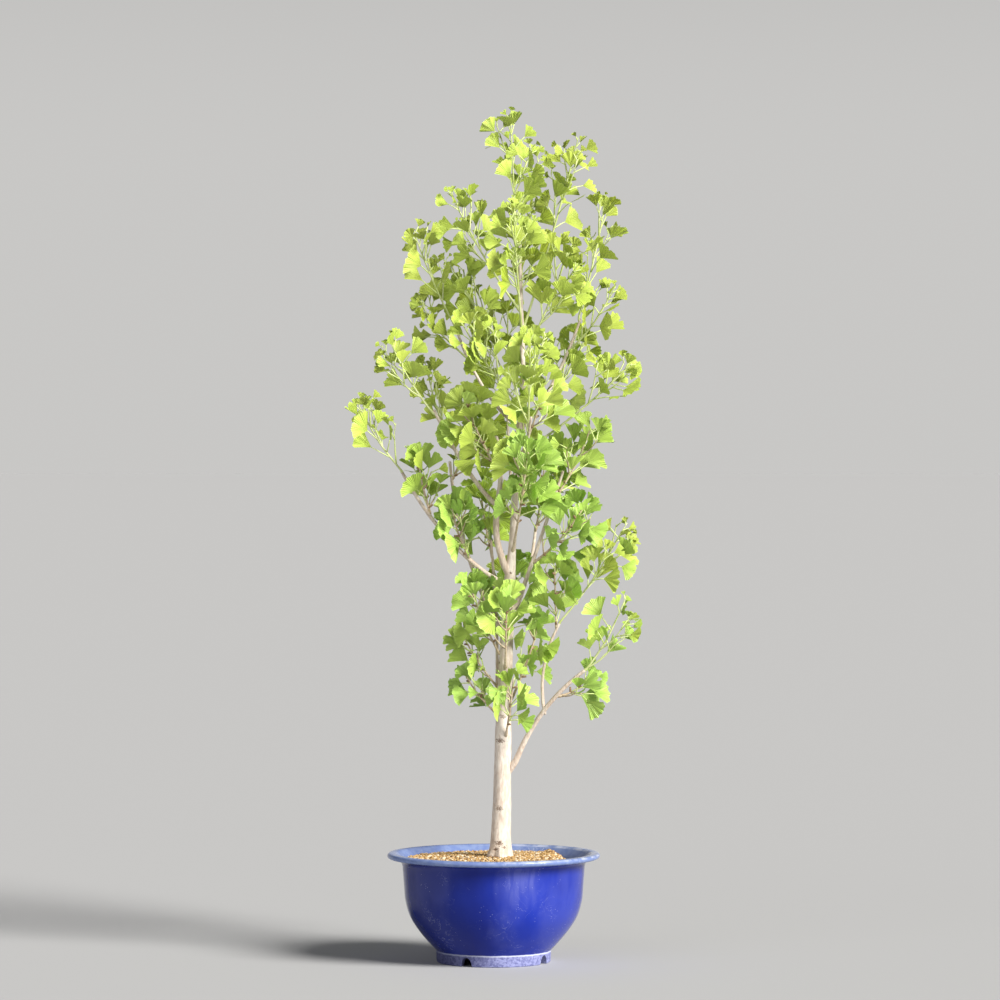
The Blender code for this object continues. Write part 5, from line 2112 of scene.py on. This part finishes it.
@dataclass
class Wood:
    """The trunk and the boughs, with the bark's relief."""

    plan: Plan
    trunk_sides: int = 48
    trunk_step: float = 0.0035
    bough_sides: int = 16
    bough_step: float = 0.0045
    flare_height: float = 0.030
    lobe_height: float = 0.0022
    relief_share: float = 0.055
    relief_scale: float = 0.55
    scar_rim: float = 0.0006
    foot_cut: float = 1.6
    foot_lift: float = 2.0
    lift_length: float = 8.0
    swelling: float = 0.20
    swelling_length: float = 3.0
    fork_inward: float = 0.15
    fork_along: float = 0.85
    inner_radii: tuple[float, ...] = (0.6, 0.9, 1, 1, 1, 1, 1)
    scars: tuple[Scar, ...] = (
        Scar(0.3100, -0.38, 0.0092),
        Scar(0.3437, -0.16, 0.0066),
        Scar(0.2150, -0.34, 0.0086),
        Scar(0.1670, -0.14, 0.0095),
        Scar(0.1610, 0.36, 0.0066),
        Scar(0.1580, -0.45, 0.0056),
        Scar(0.4190, -1.15, 0.0040),
        Scar(0.5450, 0.16, 0.0036),
        Scar(0.6280, 2.60, 0.0036),
        Scar(0.2600, 2.20, 0.0044),
        Scar(1.0190, -0.30, 0.0030),
    )

    def at(self, height: float) -> Span:
        """The trunk's lean and radius at a height."""
        place = self.plan.limbs["trunk"].at_height(height)
        return place.point.x, place.radius

    def relief(self, radius: float) -> Relief:
        """Makes the bark's relief for a limb.

        Args:
            radius: The limb's radius at its foot.

        Returns:
            How far the surface stands out at a place.
        """
        coarse = self.relief_scale / radius

        def height_at(point: Vector, out: Vector) -> float:
            """The relief at one place."""
            lengthwise = Vector((point.x * coarse, point.y * coarse, point.z * coarse * 0.3))
            fine = Vector((point.x * coarse * 3, point.y * coarse * 3, point.z * coarse * 1.1))
            swell = noise.noise(lengthwise) + 0.45 * noise.noise(fine)
            return radius * self.relief_share * swell

        return height_at

    def trunk_relief(self, point: Vector, out: Vector) -> float:
        """The trunk's relief: bark all over, root lobes at the foot and a raised rim round each scar."""
        lean, radius = self.at(point.z)
        height = self.relief(max(radius, 0.004))(point, out)
        low = within(1 - (point.z - TRUNK[0].height) / self.flare_height)
        turn = atan2(out.y, out.x)
        height += self.lobe_height * low**2 * (0.4 + sin(turn * 4 + 0.7) + 0.5 * sin(turn * 7))
        for scar in self.scars:
            if abs(point.z - scar.height) > 3 * scar.radius:
                continue
            middle = (lean + radius * sin(scar.turn), -radius * cos(scar.turn), scar.height)
            away = dist(point, middle) / scar.radius
            height += self.scar_rim * (exp(-((away - 0.7) ** 2) * 6) - 0.8 * exp(-(away**2) * 4))
        return height

    def build(self) -> list[Object]:
        """Builds and dresses the trunk and the boughs.

        Returns:
            Their pieces.
        """
        trunk = Draft()
        limb = self.plan.limbs["trunk"]
        points, radii = limb.fine(self.trunk_step)
        trunk.tube(points, radii, self.trunk_sides, UP, self.trunk_relief)
        trunk.nodes.add("trunk")
        tones = ((0.82, 0.74, 0.65), (0.61, 0.50, 0.41), (0.22, 0.14, 0.09))
        finish = BarkFinish("trunk_bark", *tones, 320.0, 0.55, self.scars, base_height=0.180)
        pieces = [trunk.piece("barked_trunk", finish.material(self.at), "bark")]
        boughs = Draft()
        for bough in BOUGHS:
            limb = self.plan.limbs[bough.name]
            points, radii = limb.fine(self.bough_step)
            points, radii = self.sink(points, radii, self.plan.limbs[bough.limb])
            boughs.tube(points, radii, self.bough_sides, limb.lead, self.relief(bough.foot_radius))
            boughs.nodes.add(bough.node)
        tones = ((0.76, 0.67, 0.57), (0.56, 0.44, 0.35), (0.22, 0.14, 0.09))
        finish = BarkFinish("bough_bark", *tones, 420.0, 0.4)
        pieces.append(boughs.piece("barked_boughs", finish.material(), "bark"))
        return pieces

    def sink(self, points: list[Vector], radii: list[float], parent: Limb) -> Rings:
        """Carries a limb's foot straight into its parent as a narrow fork, and swells it to a collar.

        Args:
            points: The middles of its rings.
            radii: Their radii.
            parent: The limb that it leaves.

        Returns:
            The new middles and radii.
        """
        foot = radii[0]
        travelled = 0.0
        raised, swollen = [], []
        for k, (point, radius) in enumerate(zip(points, radii)):
            travelled += (point - points[k - 1]).length if k else 0
            if travelled > foot * self.foot_cut:
                lift = self.foot_lift * exp(-travelled / (foot * self.lift_length))
                swell = self.swelling * exp(-travelled / (foot * self.swelling_length))
                raised.append(point + UP * foot * lift)
                swollen.append(radius * (1 + swell))
        inward = (parent.nearest(raised[0]).point - raised[0]).normalized()
        along = (raised[3] - raised[0]).normalized()
        back = (inward * self.fork_inward - along * self.fork_along).normalized() * foot
        inner = [raised[0] + back * step for step in range(len(self.inner_radii), 0, -1)]
        return [*inner, *raised], [*(swollen[0] * share for share in self.inner_radii), *swollen]


class Tint(Enum):
    """The greens of the leaves, from this year's shoots to the shaded inside."""

    NEWEST = LeafFinish("leaf_newest", (0.54, 0.67, 0.064), (0.54, 0.66, 0.11), (0.72, 0.82, 0.38))
    YOUNG = LeafFinish("leaf_young", (0.53, 0.69, 0.064), (0.53, 0.68, 0.11), (0.71, 0.84, 0.39))
    BRIGHT = LeafFinish("leaf_bright", (0.48, 0.69, 0.068), (0.48, 0.68, 0.12), (0.68, 0.84, 0.38))
    FULL = LeafFinish("leaf_full", (0.46, 0.71, 0.072), (0.46, 0.70, 0.13), (0.67, 0.85, 0.38))
    SHADED = LeafFinish("leaf_shaded", (0.42, 0.68, 0.072), (0.43, 0.67, 0.13), (0.63, 0.83, 0.38))


@dataclass(frozen=True)
class FanShape:
    """The ranges of a fan's shape: its notch, how it waves, curls, comes to a point and falls, and its rim.

    Lengths are shares of the fan's own, and turns run from -1 at one side to 1 at the other.
    """

    shallow_notch: Span = (0.08, 0.20)
    deep_notch: Span = (0.30, 0.50)
    notch_odds: tuple[float, float, float] = (0.55, 0.30, 0.15)
    notch_shift: Span = (-0.12, 0.12)
    cleft: float = 0.05
    cleft_widening: float = 0.12
    waves: Span = (4, 8)
    ruffle: Span = (0.020, 0.066)
    curl: Span = (-0.10, 0.36)
    pointed: Span = (-0.04, 0.12)
    fall: Span = (-0.08, 0.20)
    narrow_foot: float = 0.90
    cut_corner: float = 0.04
    rim_wave: float = 0.034
    rim_teeth: float = 0.022
    crinkle: float = 0.012


@dataclass
class Foliage:
    """The blades, stalks, shoots, twigs and spurs of every mass."""

    plan: Plan
    fan: FanShape = FanShape()
    rings: tuple[float, ...] = (0.22, 0.45, 0.68, 0.87, 1.0)
    columns: int = 24
    stalk_sides: int = 5
    stalk_radii: Span = (0.00100, 0.00075)
    stalk_along: float = 0.45
    stalk_forward: float = 0.02
    stalk_sag: float = 0.55
    stem_sides: int = 8
    stem_step: float = 0.006
    stem_inset: float = 2.5
    inner_share: float = 0.6
    swelling: float = 0.30
    swelling_rings: float = 1.2
    twig_sides: int = 6
    spur_sides: int = 7
    spur_length: Span = (0.004, 0.008)
    spur_radius: float = 0.0017
    spur_rings: int = 6
    spur_ridge: float = 0.18
    spur_taper: float = 0.06
    spur_onward: float = 0.4
    seed: int = 71
    crown_foot: float = 0.35
    crown_height: float = 0.8
    crown_heart: float = 0.06
    high_weight: float = 0.9
    green_weight: float = 0.35
    outward_weight: float = 2.2
    tint_scatter: float = 0.42
    tint_limits: tuple[float, ...] = (1.02, 0.62, 0.30, 0.02)

    def blade(self, draft: Draft, leaf: Leaf, rng: Random) -> None:
        """Adds a fan: straight sides, sharp corners, a wavy rim, a notch in some, and sides that curl up.

        Args:
            draft: The draft that it goes into.
            leaf: The leaf.
            rng: The blades' chances.
        """
        fan = self.fan
        notches = (0.0, rng.uniform(*fan.shallow_notch), rng.uniform(*fan.deep_notch))
        notch = rng.choices(notches, fan.notch_odds)[0]
        waves, phase, shift = rng.uniform(*fan.waves), rng.uniform(0, 6.28), rng.uniform(*fan.notch_shift)
        ruffle, curl, pointed = rng.uniform(*fan.ruffle), rng.uniform(*fan.curl), rng.uniform(*fan.pointed)
        sag = leaf.cup / leaf.length - rng.uniform(*fan.fall)
        cleft = fan.cleft + fan.cleft_widening * notch
        apex = draft.ring([leaf.neck])[0]
        draft.places.append((0.5, 0.0))
        before = None
        for depth in self.rings:
            ring = []
            for k in range(self.columns + 1):
                turn = 2 * k / self.columns - 1
                angle = turn * leaf.half_angle * blend(fan.narrow_foot, 1, depth)
                wavy = fan.rim_wave * sin(waves * turn * 1.6 + phase)
                wavy += fan.rim_teeth * sin(17 * turn + shift * 20)
                rim = 1 + pointed * turn**2 - fan.cut_corner * turn**20 + wavy * depth**2
                rim -= notch * exp(-(((turn - shift) / cleft) ** 2)) * depth**3
                reach = leaf.length * depth * rim
                lift = (ruffle * sin(waves * turn * 1.7 + phase) + sag) * depth**2
                lift += curl * turn**2 * depth**1.4 + fan.crinkle * cos(19 * turn + phase) * depth
                point = leaf.neck + leaf.axis * reach * cos(angle) + leaf.side * reach * sin(angle)
                ring.append(point + leaf.normal * leaf.length * lift)
                draft.places.append((0.5 + turn / 2, depth))
            ring = draft.ring(ring)
            for k in range(self.columns):
                if before is None:
                    draft.faces.append((apex, ring[k], ring[k + 1]))
                else:
                    draft.faces.append((before[k], ring[k], ring[k + 1], before[k + 1]))
            before = ring

    def stalk(self, draft: Draft, leaf: Leaf) -> None:
        """Adds a stalk that leaves its twig, sags a little and meets the fan along its axis.

        Args:
            draft: The draft that it goes into.
            leaf: The leaf.
        """
        span = leaf.neck - leaf.root
        middle = leaf.neck - leaf.axis * span.length * self.stalk_along + span * self.stalk_forward
        knee = (leaf.root + span * 0.5).lerp(middle, self.stalk_sag)
        shares = tapered(0, 1, 5)
        points = [leaf.root * (1 - t) ** 2 + knee * 2 * t * (1 - t) + leaf.neck * t**2 for t in shares]
        draft.tube(points, tapered(*self.stalk_radii, len(points)), self.stalk_sides)

    def tint_of(self, leaf: Leaf, mass: Mass, rng: Random) -> Tint:
        """Deals a spray its green: yellower on shoots and high up, deeper inside and behind.

        Args:
            leaf: Any leaf of the spray.
            mass: Its mass.
            rng: The sprays' chances.

        Returns:
            The green.
        """
        high = (leaf.neck.z - self.crown_foot) / self.crown_height
        outward = hypot(leaf.neck.x - CROWN_MIDDLE, leaf.neck.y) - self.crown_heart
        score = self.high_weight * high + self.green_weight * (mass.habit is Habit.GREEN)
        score += self.outward_weight * outward + rng.uniform(-self.tint_scatter, self.tint_scatter)
        for limit, tint in zip(self.tint_limits, Tint):
            if score > limit:
                return tint
        return Tint.SHADED

    def stems(self, spray: Spray, draft: Draft) -> None:
        """Adds a mass's stem, which starts inside its limb, and its twigs.

        Args:
            spray: The mass as grown.
            draft: The draft that they go into.
        """
        draft.nodes.add(spray.mass.node)
        points, radii = spray.stem.fine(self.stem_step)
        inner = points[0] - spray.stem.lead * radii[0] * self.stem_inset
        swelling = [self.swelling * exp(-k / self.swelling_rings) for k in range(len(radii))]
        swollen = [radius * (1 + share) for radius, share in zip(radii, swelling)]
        widths = [swollen[0] * self.inner_share, *swollen]
        draft.tube([inner, *points], widths, self.stem_sides, spray.stem.lead)
        for twig in [*spray.shown_twigs(), *spray.tips]:
            draft.tube(twig.points, twig.radii, self.twig_sides, twig.lead)

    def spurs(self, spray: Spray, draft: Draft, rng: Random) -> None:
        """Adds a short ringed spur under each whorl of a woody mass.

        Args:
            spray: The mass as grown.
            draft: The draft that they go into.
            rng: The spurs' chances.
        """
        draft.nodes.add(spray.mass.node)
        last = self.spur_rings - 1
        ridged = [self.spur_radius * (1 + self.spur_ridge * (k % 2)) for k in range(self.spur_rings)]
        radii = [radius * (1 - self.spur_taper * k) for k, radius in enumerate(ridged)]
        for node in spray.stem_nodes()[:-1]:
            out = side_of(node.direction, rng.uniform(0, 6.28))
            heading = (out + node.direction * self.spur_onward).normalized()
            length = rng.uniform(*self.spur_length)
            points = [node.point + heading * length * k / last for k in range(self.spur_rings)]
            draft.tube(points, radii, self.spur_sides)

    def build(self) -> list[Object]:
        """Builds and dresses the foliage.

        Returns:
            Its pieces.
        """
        rng = Random(self.seed)
        blades = {tint: Draft() for tint in Tint}
        stalks, shoots, twigs, spurs = Draft(), Draft(), Draft(), Draft()
        for spray in self.plan.sprays:
            mass = spray.mass
            tints: dict[str, Tint] = {}
            for leaf in spray.leaves:
                tint = tints.setdefault(leaf.spray, self.tint_of(leaf, mass, rng))
                self.blade(blades[tint], leaf, rng)
                self.stalk(stalks, leaf)
                blades[tint].nodes.add(mass.node)
            stalks.nodes.add(mass.node)
            self.stems(spray, shoots if spray.is_green else twigs)
            if not spray.is_green:
                self.spurs(spray, spurs, rng)
        log.info("%d leaves", sum(len(spray.leaves) for spray in self.plan.sprays))
        twig_tones = ((0.62, 0.52, 0.38), (0.44, 0.34, 0.22), (0.20, 0.13, 0.07))
        spur_tones = ((0.40, 0.28, 0.17), (0.24, 0.15, 0.08), (0.10, 0.06, 0.03))
        dressed = [(f"blades_{tint.name.lower()}", blades[tint], tint.value) for tint in Tint]
        dressed += [
            ("leaf_stalks", stalks, GreenStemFinish("stalk_green", (0.70, 0.79, 0.36), (0.55, 0.68, 0.20))),
            ("green_shoots", shoots, GreenStemFinish("shoot_green", (0.64, 0.70, 0.34), (0.48, 0.57, 0.18))),
            ("woody_twigs", twigs, BarkFinish("twig_bark", *twig_tones, 600.0, 0.4)),
            ("leaf_spurs", spurs, BarkFinish("spur_bark", *spur_tones, 900.0, 0.6)),
        ]
        return [draft.piece(name, finish.material(), "leaf") for name, draft, finish in dressed]


# Stage


@dataclass
class Studio:
    """A plain pale floor under an even pale sky, soft lights and the photo's camera."""

    floor_radius: float = 120.0
    floor_colour: Colour = (0.471, 0.4765, 0.486)
    horizon: Colour = (0.580, 0.574, 0.562)
    zenith: Colour = (0.12, 0.12, 0.125)
    camera_side: float = 0.009
    camera_distance: float = 6.3
    camera_height: float = 0.7200
    camera_tilt: float = radians(0.667)
    lens: float = 162.0

    def build_floor(self) -> None:
        """Lays the floor, a wide disc."""
        mesh = bpy.data.meshes.new("studio_floor")
        count = 96
        turns = [2 * pi * k / count for k in range(count)]
        points = [(self.floor_radius * cos(t), self.floor_radius * sin(t), 0) for t in turns]
        mesh.from_pydata(points, [], [tuple(range(count))])
        material, _, shader = start_material("pale_floor", 0.9, 0.1)
        shader.inputs["Base Color"].default_value = (*self.floor_colour, 1)
        mesh.materials.append(material)
        floor = bpy.data.objects.new("studio_floor", mesh)
        show(floor)

    def build_sky(self) -> None:
        """Lights the room evenly, with the floor's own tone at the horizon, so that no edge shows."""
        world = bpy.data.worlds.new("studio")
        world.use_nodes = True
        graph = Graph(world.node_tree)
        background = world.node_tree.nodes["Background"]
        direction = graph.add("ShaderNodeTexCoord").outputs["Generated"]
        height = graph.part(direction, "Z")
        colour = graph.mix(graph.span(height, 0.06, 0.30), self.horizon, self.zenith)
        graph.join(colour, background, "Color")
        background.inputs["Strength"].default_value = 1.0
        bpy.context.scene.world = world

    def add_light(self, name: str, direction: tuple[float, float, float], strength: float, softness: float,
                  colour: Colour) -> None:
        """Hangs a soft light so far off that it falls evenly.

        Args:
            name: Its name.
            direction: The way to it.
            strength: Its strength in watts for each square metre.
            softness: How wide it looks, in degrees.
            colour: Its colour.
        """
        data = bpy.data.lights.new(name, "SUN")
        data.energy = strength
        data.angle = radians(softness)
        data.color = colour
        light = bpy.data.objects.new(name, data)
        light.rotation_euler = Vector(direction).to_track_quat("Z", "Y").to_euler()
        show(light)

    def build_lights(self) -> None:
        """Hangs the key light to the right of the camera and above it, and a weak fill to its left."""
        self.add_light("key_light", (0.668, -0.522, 0.530), 6.2, 26, (1.0, 0.97, 0.92))
        self.add_light("fill_light", (-0.50, -0.82, 0.30), 0.70, 55, (0.97, 0.99, 1.0))

    def build_camera(self) -> None:
        """Sets the camera where the photo was taken from."""
        data = bpy.data.cameras.new("photo_camera")
        data.lens = self.lens
        data.sensor_width = 36
        data.clip_start = 0.1
        data.clip_end = 500
        camera = bpy.data.objects.new("photo_camera", data)
        camera.location = (AXIS.x + self.camera_side, AXIS.y - self.camera_distance, self.camera_height)
        camera.rotation_euler = (pi / 2 - self.camera_tilt, 0, 0)
        show(camera)
        bpy.context.scene.camera = camera

    def build(self) -> None:
        """Builds the whole stage."""
        self.build_floor()
        self.build_sky()
        self.build_lights()
        self.build_camera()
        bpy.context.scene.view_settings.view_transform = "Standard"


def main() -> None:
    """Builds the plant's sub-assemblies in order, then the stage."""
    logging.basicConfig(level=logging.INFO, format="%(name)s: %(message)s")
    pot = Pot()
    pot.build()
    soil = Soil()
    soil.build_bed(pot)
    soil.build_granules(pot)
    plan = Plan()
    plan.grow()
    Wood(plan).build()
    Foliage(plan).build()
    Studio().build()


if __name__ == "__main__":
    main()
